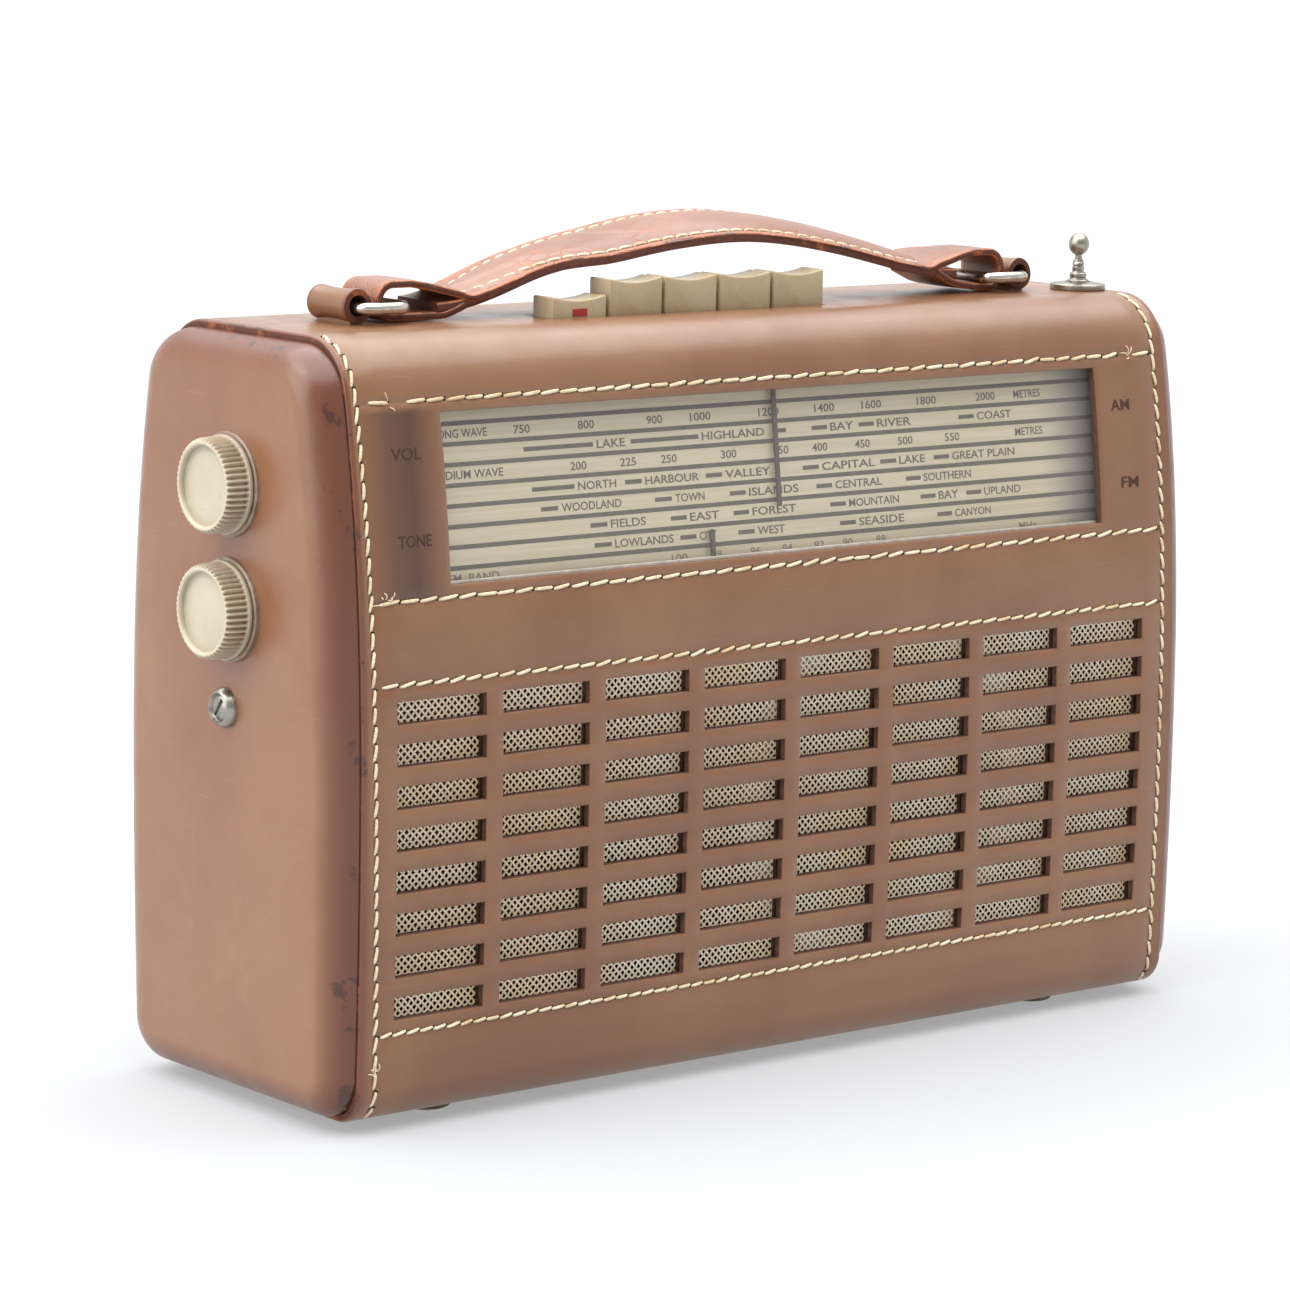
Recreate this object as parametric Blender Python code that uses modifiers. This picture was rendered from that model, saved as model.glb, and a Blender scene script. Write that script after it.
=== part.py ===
"""Leather-covered portable radio with a piano-key band switch, a rod aerial and a carrying strap.

Frame: X runs along the width, to the right as seen from the front. -Y is the front. Z is up.
The origin is on the ground, under the middle of the case. Units are metres.
"""

import math

import bmesh
import bpy
from mathutils import Vector

MM = 0.001

# Case
CASE_HALF_WIDTH = 146.5 * MM
WRAP_HALF_WIDTH = 139.0 * MM
CASE_BOTTOM = 2.5 * MM
CASE_TOP = 195.0 * MM
HALF_DEPTH = 47.8 * MM
BULGE_HEIGHT = 70.0 * MM
TOP_RADIUS = 16.0 * MM
BOTTOM_RADIUS = 9.0 * MM
LEATHER = 2.0 * MM
BOARD = 5.7 * MM
GAP = 0.3 * MM
CAP_STEP = 1.6 * MM
CAP_WALL = 3.0 * MM
CAP_ROUNDING = 6.6 * MM

# Grille slots
SLOT_COLUMNS = 8
SLOT_ROWS = 8
SLOT_LEFT = -127.1 * MM
SLOT_PITCH_X = 32.2 * MM
SLOT_WIDTH = 27.1 * MM
SLOT_TOP = 107.4 * MM
SLOT_PITCH_Z = 10.48 * MM
SLOT_HEIGHT = 5.6 * MM

# Dial window
WINDOW_HALF = 110.2 * MM
WINDOW_TOP = 176.6 * MM
WINDOW_BOTTOM = 134.7 * MM
DIAL_LEAN = math.radians(7.3)

# Band keys
KEY_COUNT = 5
KEY_FIRST_X = -49.0 * MM
KEY_PITCH = 18.3 * MM
KEY_WIDTH = 17.3 * MM
KEY_DEPTH = 8.5 * MM
KEY_FRONT = -16.5 * MM
KEY_STAND = 9.4 * MM
KEY_TRAVEL = 4.0 * MM

# Knobs
KNOB_RADIUS = 12.3 * MM
KNOB_HEIGHT = 7.2 * MM
KNOB_Y = -3.1 * MM
KNOB_UPPER_Z = 157.1 * MM
KNOB_LOWER_Z = 126.0 * MM
FLUTES = 48

# Rod aerial
AERIAL_X = 130.0 * MM
AERIAL_Y = -12.5 * MM
AERIAL_LENGTH = 122.0 * MM

# Handle
TAB_X = 112.0 * MM
TAB_Z = 199.7 * MM
RING_Z = 199.2 * MM
RING_REACH = 13.5 * MM
RING_HALF = 11.6 * MM
RING_WIRE = 1.5 * MM
STRAP_HALF = 11.0 * MM


def clear_scene():
    for obj in list(bpy.data.objects):
        bpy.data.objects.remove(obj, do_unlink=True)


clear_scene()

parts = bpy.data.collections.new("leather_portable_radio")
cutters = bpy.data.collections.new("cutters")
bpy.context.scene.collection.children.link(parts)
bpy.context.scene.collection.children.link(cutters)

# ---------------------------------------------------------------- materials


def material(name, colour, roughness, metallic=0.0):
    mat = bpy.data.materials.new(name)
    mat.use_nodes = True
    shader = mat.node_tree.nodes["Principled BSDF"]
    shader.inputs["Base Color"].default_value = (*colour, 1.0)
    shader.inputs["Roughness"].default_value = roughness
    shader.inputs["Metallic"].default_value = metallic
    mat.diffuse_color = (*colour, 1.0)
    return mat


TAN_LEATHER = material("tan_leather", (0.30, 0.13, 0.07), 0.5)
CAP_LEATHER = material("cap_leather", (0.42, 0.20, 0.12), 0.5)
STRAP_LEATHER = material("strap_leather", (0.26, 0.11, 0.06), 0.55)
CASE_WOOD = material("case_wood", (0.45, 0.30, 0.17), 0.7)
BOARD_BROWN = material("board_brown", (0.12, 0.06, 0.04), 0.8)
CLOTH = material("grille_cloth", (0.66, 0.56, 0.38), 0.85)
CLEAR = material("clear_window", (0.80, 0.80, 0.78), 0.1)
DIAL_METAL = material("dial_metal", (0.52, 0.46, 0.38), 0.4, 0.6)
IVORY = material("ivory_plastic", (0.80, 0.74, 0.58), 0.35)
NICKEL = material("nickel", (0.72, 0.70, 0.66), 0.22, 1.0)
STEEL = material("plated_steel", (0.55, 0.55, 0.53), 0.4, 1.0)
IRON = material("magnet_grey", (0.22, 0.22, 0.23), 0.6, 0.6)
PAPER = material("cone_paper", (0.05, 0.05, 0.05), 0.9)
PHENOLIC = material("phenolic_board", (0.36, 0.20, 0.08), 0.6)
FERRITE = material("ferrite", (0.06, 0.06, 0.065), 0.6)
COPPER = material("coil_wire", (0.55, 0.25, 0.10), 0.4, 0.7)
BLACK = material("black_plastic", (0.04, 0.04, 0.04), 0.5)
CELL = material("cell_jacket", (0.16, 0.22, 0.36), 0.5)
POINTER = material("pointer_dark", (0.06, 0.04, 0.04), 0.5)
FOOT = material("foot_rubber", (0.20, 0.20, 0.15), 0.7)

# ------------------------------------------------------------------ helpers


def put(obj, name, mat, home=None):
    obj.name = name
    if obj.data.name != name and obj.data.users == 1:
        obj.data.name = name
    for collection in list(obj.users_collection):
        collection.objects.unlink(obj)
    (home or parts).objects.link(obj)
    if mat is not None:
        obj.data.materials.clear()
        obj.data.materials.append(mat)
    return obj


def as_cutter(obj):
    put(obj, obj.name, None, cutters)
    obj.hide_render = True
    obj.display_type = "WIRE"
    return obj


def baked(obj):
    """A mesh object in place of a curve or of an object with modifiers."""
    bpy.context.view_layer.update()
    graph = bpy.context.evaluated_depsgraph_get()
    mesh = bpy.data.meshes.new_from_object(obj.evaluated_get(graph))
    work = bmesh.new()
    work.from_mesh(mesh)
    bmesh.ops.remove_doubles(work, verts=work.verts, dist=1e-6)
    bmesh.ops.recalc_face_normals(work, faces=work.faces)
    work.to_mesh(mesh)
    work.free()
    name = obj.name
    matrix = obj.matrix_world.copy()
    bpy.data.objects.remove(obj, do_unlink=True)
    fresh = bpy.data.objects.new(name, mesh)
    fresh.matrix_world = matrix
    parts.objects.link(fresh)
    return fresh


def box(name, low, high, mat, bevel=0.0, segments=1):
    low, high = Vector(low), Vector(high)
    work = bmesh.new()
    bmesh.ops.create_cube(work, size=1.0)
    bmesh.ops.scale(work, vec=high - low, verts=work.verts)
    mesh = bpy.data.meshes.new(name)
    work.to_mesh(mesh)
    work.free()
    obj = bpy.data.objects.new(name, mesh)
    obj.location = (low + high) / 2
    put(obj, name, mat)
    if bevel:
        edge = obj.modifiers.new("edges", "BEVEL")
        edge.width = bevel
        edge.segments = segments
    return obj


AXIS_TURN = {
    "X": (0.0, math.pi / 2, 0.0),
    "-X": (0.0, -math.pi / 2, 0.0),
    "Y": (-math.pi / 2, 0.0, 0.0),
    "-Y": (math.pi / 2, 0.0, 0.0),
    "Z": (0.0, 0.0, 0.0),
}


def cylinder(name, centre, radius, length, axis, mat, sides=24, bevel=0.0, radius_2=None):
    """A cylinder or cone along an axis; radius_2 is the far end's."""
    work = bmesh.new()
    bmesh.ops.create_cone(
        work,
        cap_ends=True,
        segments=sides,
        radius1=radius,
        radius2=radius if radius_2 is None else radius_2,
        depth=length,
    )
    mesh = bpy.data.meshes.new(name)
    work.to_mesh(mesh)
    work.free()
    obj = bpy.data.objects.new(name, mesh)
    obj.location = centre
    obj.rotation_euler = AXIS_TURN[axis]
    put(obj, name, mat)
    if bevel:
        edge = obj.modifiers.new("edges", "BEVEL")
        edge.width = bevel
        edge.segments = 1
        edge.limit_method = "ANGLE"
        edge.angle_limit = math.radians(50)
    smooth(obj)
    return obj


def smooth(obj, angle=35):
    obj.data.shade_smooth()
    obj.data.set_sharp_from_angle(angle=math.radians(angle))


def turned(name, profile, centre, axis, mat, steps=24):
    """A profile of (radius, height) points, top to bottom along the outside, turned about the axis."""
    mesh = bpy.data.meshes.new(name)
    work = bmesh.new()
    verts = [work.verts.new((radius, 0.0, height)) for radius, height in profile]
    closed = profile[0][0] > 1e-7 or profile[-1][0] > 1e-7
    for first, second in zip(verts, verts[1:]):
        work.edges.new((first, second))
    if closed:
        work.edges.new((verts[-1], verts[0]))
    work.to_mesh(mesh)
    work.free()
    obj = bpy.data.objects.new(name, mesh)
    obj.location = centre
    obj.rotation_euler = AXIS_TURN[axis]
    put(obj, name, mat)
    screw = obj.modifiers.new("turn", "SCREW")
    screw.axis = "Z"
    screw.steps = steps
    screw.render_steps = steps
    screw.use_merge_vertices = True
    screw.merge_threshold = 0.000001
    screw.use_smooth_shade = True
    return obj


def outline(name, loops, low, high, axis, mat):
    """Closed flat loops, holes included, extruded from low to high along X, Y or Z."""
    curve = bpy.data.curves.new(name, "CURVE")
    curve.dimensions = "2D"
    curve.fill_mode = "BOTH"
    curve.extrude = (high - low) / 2
    for loop in loops:
        spline = curve.splines.new("POLY")
        spline.points.add(len(loop) - 1)
        for point, (u, v) in zip(spline.points, loop):
            point.co = (u, v, 0.0, 1.0)
        spline.use_cyclic_u = True
    obj = bpy.data.objects.new(name, curve)
    middle = (low + high) / 2
    if axis == "X":
        obj.rotation_euler = (math.pi / 2, 0.0, math.pi / 2)
        obj.location = (middle, 0.0, 0.0)
    elif axis == "Y":
        obj.rotation_euler = (math.pi / 2, 0.0, 0.0)
        obj.location = (0.0, middle, 0.0)
    else:
        obj.location = (0.0, 0.0, middle)
    put(obj, name, mat)
    obj = baked(obj)
    put(obj, name, mat)
    return obj


def cut(obj, cutter, operation="DIFFERENCE"):
    mod = obj.modifiers.new(cutter.name, "BOOLEAN")
    mod.object = cutter
    mod.operation = operation
    mod.solver = "EXACT"
    return obj


def join(obj, other):
    """Unites two solids into one body and removes the second."""
    cut(obj, other, "UNION")
    name = obj.name
    mat = obj.data.materials[0]
    solid = baked(obj)
    put(solid, name, mat)
    bpy.data.objects.remove(other, do_unlink=True)
    return solid


def rectangle(x_0, x_1, z_0, z_1):
    return [(x_0, z_0), (x_1, z_0), (x_1, z_1), (x_0, z_1)]


def rounded(x_0, x_1, z_0, z_1, radius, steps=4):
    loop = []
    corners = ((x_1, z_1, 0), (x_0, z_1, 90), (x_0, z_0, 180), (x_1, z_0, 270))
    for x, z, start in corners:
        cx = x - radius if x == x_1 else x + radius
        cz = z - radius if z == z_1 else z + radius
        for step in range(steps + 1):
            angle = math.radians(start + 90 * step / steps)
            loop.append((cx + radius * math.cos(angle), cz + radius * math.sin(angle)))
    return loop


# ------------------------------------------------------------- case outline


def half_depth(z):
    """Half the depth of the case at a height: widest low down and drawn in towards the top."""
    if z > BULGE_HEIGHT:
        return HALF_DEPTH - 8.2 * MM * ((z - BULGE_HEIGHT) / (109.6 * MM)) ** 2.5
    return HALF_DEPTH - 0.9 * MM * ((BULGE_HEIGHT - z) / (57.0 * MM)) ** 2


def case_half():
    points = []
    arc_z = CASE_TOP - TOP_RADIUS
    join_angle = math.radians(10)
    join_z = arc_z + TOP_RADIUS * math.sin(join_angle)
    arc_y = half_depth(join_z) - TOP_RADIUS * math.cos(join_angle)
    for degrees in (90, 70, 50, 30, 10):
        angle = math.radians(degrees)
        points.append((arc_y + TOP_RADIUS * math.cos(angle), arc_z + TOP_RADIUS * math.sin(angle)))
    low_z = CASE_BOTTOM + BOTTOM_RADIUS
    for step in range(1, 8):
        z = join_z + (low_z - join_z) * step / 8
        points.append((half_depth(z), z))
    low_y = half_depth(low_z) - BOTTOM_RADIUS
    for degrees in (0, -22.5, -45, -67.5, -90):
        angle = math.radians(degrees)
        points.append((low_y + BOTTOM_RADIUS * math.cos(angle), low_z + BOTTOM_RADIUS * math.sin(angle)))
    return points


def case_loop(inset=0.0):
    """The case's end view as a closed loop of (y, z), moved inwards by inset."""
    half = case_half()
    loop = half + [(-y, z) for y, z in reversed(half)]
    if not inset:
        return loop
    count = len(loop)
    moved = []
    for index, (y, z) in enumerate(loop):
        before = Vector(loop[index - 1])
        after = Vector(loop[(index + 1) % count])
        here = Vector((y, z))
        first = (here - before).normalized()
        second = (after - here).normalized()
        inward_1 = Vector((first.y, -first.x))
        inward_2 = Vector((second.y, -second.x))
        inward = (inward_1 + inward_2).normalized()
        reach = inset / max(0.5, inward.dot(inward_1))
        moved.append(tuple(here + inward * reach))
    return moved


# --------------------------------------------------- cutters for the openings


def slot_loops(grow=0.0):
    loops = []
    for column in range(SLOT_COLUMNS):
        for row in range(SLOT_ROWS):
            x = SLOT_LEFT + column * SLOT_PITCH_X
            z = SLOT_TOP - row * SLOT_PITCH_Z
            loops.append(rectangle(x - grow, x + SLOT_WIDTH + grow, z - SLOT_HEIGHT - grow, z + grow))
    return loops


KEY_BACK = KEY_FRONT + KEY_DEPTH
KEYS_LEFT = KEY_FIRST_X - KEY_WIDTH / 2
KEYS_RIGHT = KEY_FIRST_X + (KEY_COUNT - 1) * KEY_PITCH + KEY_WIDTH / 2
BACK_X = 112.0 * MM
BACK_LOW = 24.0 * MM
BACK_HIGH = 160.0 * MM

slots_cut = as_cutter(outline("cut_slots", slot_loops(), -0.060, -0.040, "Y", None))
window_cut = as_cutter(
    outline(
        "cut_window",
        [rounded(-WINDOW_HALF, WINDOW_HALF, WINDOW_BOTTOM, WINDOW_TOP, 0.8 * MM, 1)],
        -0.060,
        -0.030,
        "Y",
        None,
    )
)
keys_cut = as_cutter(
    box(
        "cut_keys",
        (KEYS_LEFT - 0.6 * MM, KEY_FRONT - 0.6 * MM, 0.180),
        (KEYS_RIGHT + 0.6 * MM, KEY_BACK + 0.6 * MM, 0.200),
        None,
    )
)
aerial_cut = as_cutter(
    cylinder("cut_aerial", (AERIAL_X, AERIAL_Y, 0.190), 4.1 * MM, 0.030, "Z", None, 16)
)
tab_cuts = []
for side, name in ((-1, "cut_tab_left"), (1, "cut_tab_right")):
    x = side * TAB_X
    tab_cut = box(name, (x - 2.4 * MM, -7.6 * MM, 0.180), (x + 2.4 * MM, 7.6 * MM, 0.200), None)
    tab_cuts.append(as_cutter(tab_cut))
back_cut = as_cutter(
    outline("cut_back", [rounded(-BACK_X, BACK_X, BACK_LOW, BACK_HIGH, 0.008, 3)], 0.025, 0.060, "Y", None)
)

# --------------------------------------------------------------- leather wrap

wrap = outline(
    "leather_wrap",
    [case_loop(), case_loop(LEATHER)],
    -WRAP_HALF_WIDTH,
    WRAP_HALF_WIDTH,
    "X",
    TAN_LEATHER,
)
for cutter in [slots_cut, window_cut, keys_cut, aerial_cut, back_cut] + tab_cuts:
    cut(wrap, cutter)
smooth(wrap, 25)

# ------------------------------------------------------------------ case frame

FRAME_OUT = LEATHER + GAP
FRAME_IN = FRAME_OUT + BOARD
frame = outline(
    "case_frame",
    [case_loop(FRAME_OUT), case_loop(FRAME_IN)],
    -WRAP_HALF_WIDTH + GAP,
    WRAP_HALF_WIDTH - GAP,
    "X",
    CASE_WOOD,
)
grille_hole = as_cutter(
    box("cut_grille_hole", (-0.1294, -0.060, 0.0245), (0.1294, -0.030, 0.1092), None)
)
dial_hole = as_cutter(box("cut_dial_hole", (-0.1160, -0.060, 0.1285), (0.1160, -0.025, 0.1815), None))
for cutter in [grille_hole, dial_hole, keys_cut, aerial_cut, back_cut] + tab_cuts:
    cut(frame, cutter)

# -------------------------------------------------------------------- end caps


def end_cap(name, side):
    """A moulded end: the case outline closed over with rounded edges, hollow inside."""
    inner_x = WRAP_HALF_WIDTH + GAP
    shell = outline(name, [case_loop(CAP_STEP)], inner_x, CASE_HALF_WIDTH, "X", CAP_LEATHER)
    hollow = outline(
        name + "_hollow",
        [case_loop(CAP_STEP + CAP_WALL)],
        inner_x - 0.002,
        CASE_HALF_WIDTH - CAP_WALL,
        "X",
        None,
    )
    for solid, width in ((shell, CAP_ROUNDING), (hollow, CAP_ROUNDING - CAP_WALL)):
        mesh = solid.data
        weights = mesh.attributes.new("bevel_weight_edge", "FLOAT", "EDGE")
        far = max(vertex.co.z for vertex in mesh.vertices) - 1e-5
        for edge in mesh.edges:
            ends = [mesh.vertices[index].co.z > far for index in edge.vertices]
            faces = [face for face in mesh.polygons if set(edge.vertices) <= set(face.vertices)]
            rim = all(ends) and any(abs(face.normal.z) < 0.5 for face in faces)
            weights.data[edge.index].value = 1.0 if rim else 0.0
        bevel = solid.modifiers.new("rounding", "BEVEL")
        bevel.width = width
        bevel.segments = 4
        bevel.limit_method = "WEIGHT"
    if side < 0:
        for solid in (shell, hollow):
            solid.location.x = -solid.location.x
            solid.rotation_euler = (math.pi / 2, 0.0, -math.pi / 2)
    cut(shell, as_cutter(hollow))
    for level, z in (("upper", KNOB_UPPER_Z), ("lower", KNOB_LOWER_Z)):
        hole = cylinder(
            name + "_hole_" + level, (side * CASE_HALF_WIDTH, KNOB_Y, z), 4.2 * MM, 0.020, "X", None, 16
        )
        cut(shell, as_cutter(hole))
    screw_hole = cylinder(
        name + "_screw_hole", (side * CASE_HALF_WIDTH, SCREW_Y, SCREW_Z), 2.6 * MM, 0.020, "X", None, 16
    )
    cut(shell, as_cutter(screw_hole))
    smooth(shell, 40)
    return shell


SCREW_Y = -1.2 * MM
SCREW_Z = 101.3 * MM
end_cap("left_end_cap", -1)
end_cap("right_end_cap", 1)


def coin_screw(name, location, axis, shank):
    """A wide slotted screw in a turned cup washer; local Z points out of the case."""
    profile = [
        (0.0, 1.5 * MM),
        (2.9 * MM, 1.5 * MM),
        (3.3 * MM, 1.0 * MM),
        (3.6 * MM, 1.8 * MM),
        (4.4 * MM, 1.6 * MM),
        (5.1 * MM, 0.0),
        (2.2 * MM, 0.0),
        (2.2 * MM, -shank),
        (0.0, -shank),
    ]
    body = turned(name, profile, location, axis, NICKEL, 20)
    slot = box(name + "_slot", (-0.5 * MM, -2.6 * MM, 0.7 * MM), (0.5 * MM, 2.6 * MM, 3.0 * MM), None)
    body = baked(body)
    put(body, name, NICKEL)
    turn = Vector((0.0, 0.0, 1.0))
    turn.rotate(body.rotation_euler)
    slot.rotation_euler = body.rotation_euler.copy()
    slot.location = body.location + turn * 1.85 * MM
    cut(body, as_cutter(slot))
    smooth(body)
    return body


coin_screw("left_coin_screw", (-CASE_HALF_WIDTH - GAP, SCREW_Y, SCREW_Z), "-X", 6.0 * MM)
coin_screw("right_coin_screw", (CASE_HALF_WIDTH + GAP, SCREW_Y, SCREW_Z), "X", 6.0 * MM)

# ------------------------------------------------------------------ back panel

panel = outline(
    "back_panel",
    [case_loop(0.2 * MM), case_loop(6.5 * MM)],
    -BACK_X + 0.5 * MM,
    BACK_X - 0.5 * MM,
    "X",
    TAN_LEATHER,
)
panel_keep = as_cutter(
    outline(
        "keep_panel",
        [
            rounded(
                -BACK_X + 0.5 * MM, BACK_X - 0.5 * MM, BACK_LOW + 0.5 * MM, BACK_HIGH - 0.5 * MM, 0.0075, 3
            )
        ],
        0.025,
        0.060,
        "Y",
        None,
    )
)
cut(panel, panel_keep, "INTERSECT")
BACK_SCREW_X = 100.0 * MM
BACK_SCREW_Z = 92.0 * MM
for side, name in ((-1, "left"), (1, "right")):
    screw_x = side * BACK_SCREW_X
    seat_y = half_depth(BACK_SCREW_Z) - 2.1 * MM
    hole = cylinder("cut_back_screw_" + name, (screw_x, 0.045, BACK_SCREW_Z), 2.6 * MM, 0.030, "Y", None, 16)
    sink = cylinder(
        "cut_back_sink_" + name, (screw_x, seat_y + 0.010, BACK_SCREW_Z), 5.5 * MM, 0.020, "Y", None, 20
    )
    cut(panel, as_cutter(hole))
    cut(panel, as_cutter(sink))
    coin_screw("back_screw_" + name, (screw_x, seat_y + GAP, BACK_SCREW_Z), "Y", 7.0 * MM)
smooth(panel, 25)

# ---------------------------------------------------------------------- grille

BOARD_FRONT = -44.7 * MM
BOARD_BACK = -43.7 * MM
outline(
    "grille_board",
    [rectangle(-0.1289, 0.1289, 0.0250, 0.1087)] + slot_loops(0.2 * MM),
    BOARD_FRONT,
    BOARD_BACK,
    "Y",
    BOARD_BROWN,
)
CLOTH_FRONT = BOARD_BACK + GAP
box("grille_cloth", (-0.1286, CLOTH_FRONT, 0.0253), (0.1286, CLOTH_FRONT + 0.8 * MM, 0.1084), CLOTH)

# ------------------------------------------------------------------------ dial

dial = bpy.data.objects.new("dial_tilt", None)
parts.objects.link(dial)
DIAL_Z = (WINDOW_TOP + WINDOW_BOTTOM) / 2
dial.location = (0.0, -half_depth(DIAL_Z), DIAL_Z)
dial.rotation_euler = (-DIAL_LEAN, 0.0, 0.0)
bpy.context.view_layer.update()


def on_dial(obj):
    """Keeps the object's own placing as its place on the leaning dial."""
    obj.parent = dial
    return obj


on_dial(box("dial_glass", (-0.1145, 3.1 * MM, -0.0240), (0.1145, 4.3 * MM, 0.0240), CLEAR))
on_dial(box("dial_plate", (-0.1145, 6.6 * MM, -0.0240), (0.1145, 7.6 * MM, 0.0240), DIAL_METAL))
AM_REST_X = 0.0
FM_REST_X = -23.0 * MM


def pointer(name, x, low, high, foot_low, foot_high):
    needle = box(name, (x - 0.6 * MM, 5.1 * MM, low), (x + 0.6 * MM, 5.8 * MM, high), POINTER)
    foot = box(name + "_foot", (x - 3 * MM, 4.8 * MM, foot_low), (x + 3 * MM, 6.1 * MM, foot_high), POINTER)
    needle = join(needle, foot)
    return on_dial(needle)


pointer("am_pointer", AM_REST_X, -0.0090, 0.0220, 0.0215, 0.0238)
pointer("fm_pointer", FM_REST_X, -0.0220, -0.0135, -0.0238, -0.0215)

# --------------------------------------------------------- chassis and circuit

CHASSIS_Y = -27.0 * MM
CHASSIS_LOW = 119.0 * MM
CHASSIS_HIGH = 176.0 * MM
CHASSIS_LEFT = -126.0 * MM
CHASSIS_RIGHT = 114.0 * MM
SHEET = 1.2 * MM
channel = [
    (CHASSIS_LEFT, CHASSIS_Y),
    (CHASSIS_RIGHT, CHASSIS_Y),
    (CHASSIS_RIGHT, 0.020),
    (CHASSIS_RIGHT - SHEET, 0.020),
    (CHASSIS_RIGHT - SHEET, CHASSIS_Y + SHEET),
    (CHASSIS_LEFT + SHEET, CHASSIS_Y + SHEET),
    (CHASSIS_LEFT + SHEET, 0.020),
    (CHASSIS_LEFT, 0.020),
]
outline("chassis", [channel], CHASSIS_LOW, CHASSIS_HIGH, "Z", STEEL)
box("circuit_board", (-0.1240, 0.0080, 0.1190), (0.1120, 0.0096, 0.1700), PHENOLIC)


def control(name, low_x, high_x, y_0, y_1, z_0, z_1, shaft_z, mat, mouth):
    """A boxed control with a blind bore for a knob's shaft."""
    case = box(name, (low_x, y_0, z_0), (high_x, y_1, z_1), mat, 0.6 * MM)
    depth = 8.0 * MM
    if mouth < 0:
        centre_x = low_x + depth / 2 - 1 * MM
    else:
        centre_x = high_x - depth / 2 + 1 * MM
    bore = cylinder(name + "_bore", (centre_x, KNOB_Y, shaft_z), 3.6 * MM, depth, "X", None, 16)
    cut(case, as_cutter(bore))
    return case


def potentiometer(name, z):
    case = cylinder(name, (-0.1325, KNOB_Y, z), 10.5 * MM, 0.0120, "X", STEEL, 24, 0.8 * MM)
    bore = cylinder(name + "_bore", (-0.1358, KNOB_Y, z), 3.6 * MM, 0.0080, "X", None, 16)
    cut(case, as_cutter(bore))
    return case


potentiometer("volume_pot", KNOB_UPPER_Z)
potentiometer("tone_pot", KNOB_LOWER_Z)
TUNER_LEFT = CHASSIS_RIGHT + GAP
TUNER_RIGHT = 125.4 * MM
control(
    "tuning_capacitor",
    TUNER_LEFT,
    TUNER_RIGHT,
    -0.0200,
    0.0190,
    0.1430,
    0.1750,
    KNOB_UPPER_Z,
    STEEL,
    1,
)
control("fm_tuner", TUNER_LEFT, TUNER_RIGHT, -0.0200, 0.0190, 0.1120, 0.1390, KNOB_LOWER_Z, STEEL, 1)

bank = box(
    "key_switch_bank",
    (KEYS_LEFT, KEY_FRONT, 0.1570),
    (KEYS_RIGHT, KEY_BACK, 0.1730),
    BLACK,
)
pockets = []
for index in range(KEY_COUNT):
    x = KEY_FIRST_X + index * KEY_PITCH
    pockets.append(rectangle(x - 3.6 * MM, x + 3.6 * MM, KEY_FRONT + 2.2 * MM, KEY_BACK - 2.2 * MM))
cut(bank, as_cutter(outline("cut_key_pockets", pockets, 0.1590, 0.1760, "Z", None)))

cylinder("ferrite_rod", (-0.0200, 0.0160, 0.1790), 4.8 * MM, 0.1600, "X", FERRITE, 16)
turned(
    "ferrite_coil",
    [(7.0 * MM, 15 * MM), (7.0 * MM, -15 * MM), (5.2 * MM, -15 * MM), (5.2 * MM, 15 * MM)],
    (-0.0600, 0.0160, 0.1790),
    "X",
    COPPER,
    16,
)

# --------------------------------------------------------------------- speaker

SPEAKER = (0.0400, 0.0, 0.0680)
SPEAKER_FRONT = -38.8 * MM
turned(
    "speaker_basket",
    [
        (18.0 * MM, 19.0 * MM),
        (30.0 * MM, 19.0 * MM),
        (44.0 * MM, 2.0 * MM),
        (50.0 * MM, 2.0 * MM),
        (50.0 * MM, 0.4 * MM),
        (43.0 * MM, 0.4 * MM),
        (29.0 * MM, 17.4 * MM),
        (18.0 * MM, 17.4 * MM),
    ],
    (SPEAKER[0], SPEAKER_FRONT, SPEAKER[2]),
    "Y",
    STEEL,
    24,
)
turned(
    "speaker_cone",
    [
        (0.0, 15.2 * MM),
        (11.0 * MM, 15.2 * MM),
        (39.5 * MM, 0.6 * MM),
        (42.4 * MM, 0.6 * MM),
        (42.4 * MM, 0.0),
        (39.2 * MM, 0.0),
        (10.6 * MM, 14.4 * MM),
        (0.0, 14.4 * MM),
    ],
    (SPEAKER[0], SPEAKER_FRONT, SPEAKER[2]),
    "Y",
    PAPER,
    24,
)
cylinder("speaker_magnet", (SPEAKER[0], -0.0090, SPEAKER[2]), 23.0 * MM, 0.0210, "Y", IRON, 24, 1.0 * MM)

# ------------------------------------------------------------------- batteries

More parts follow.
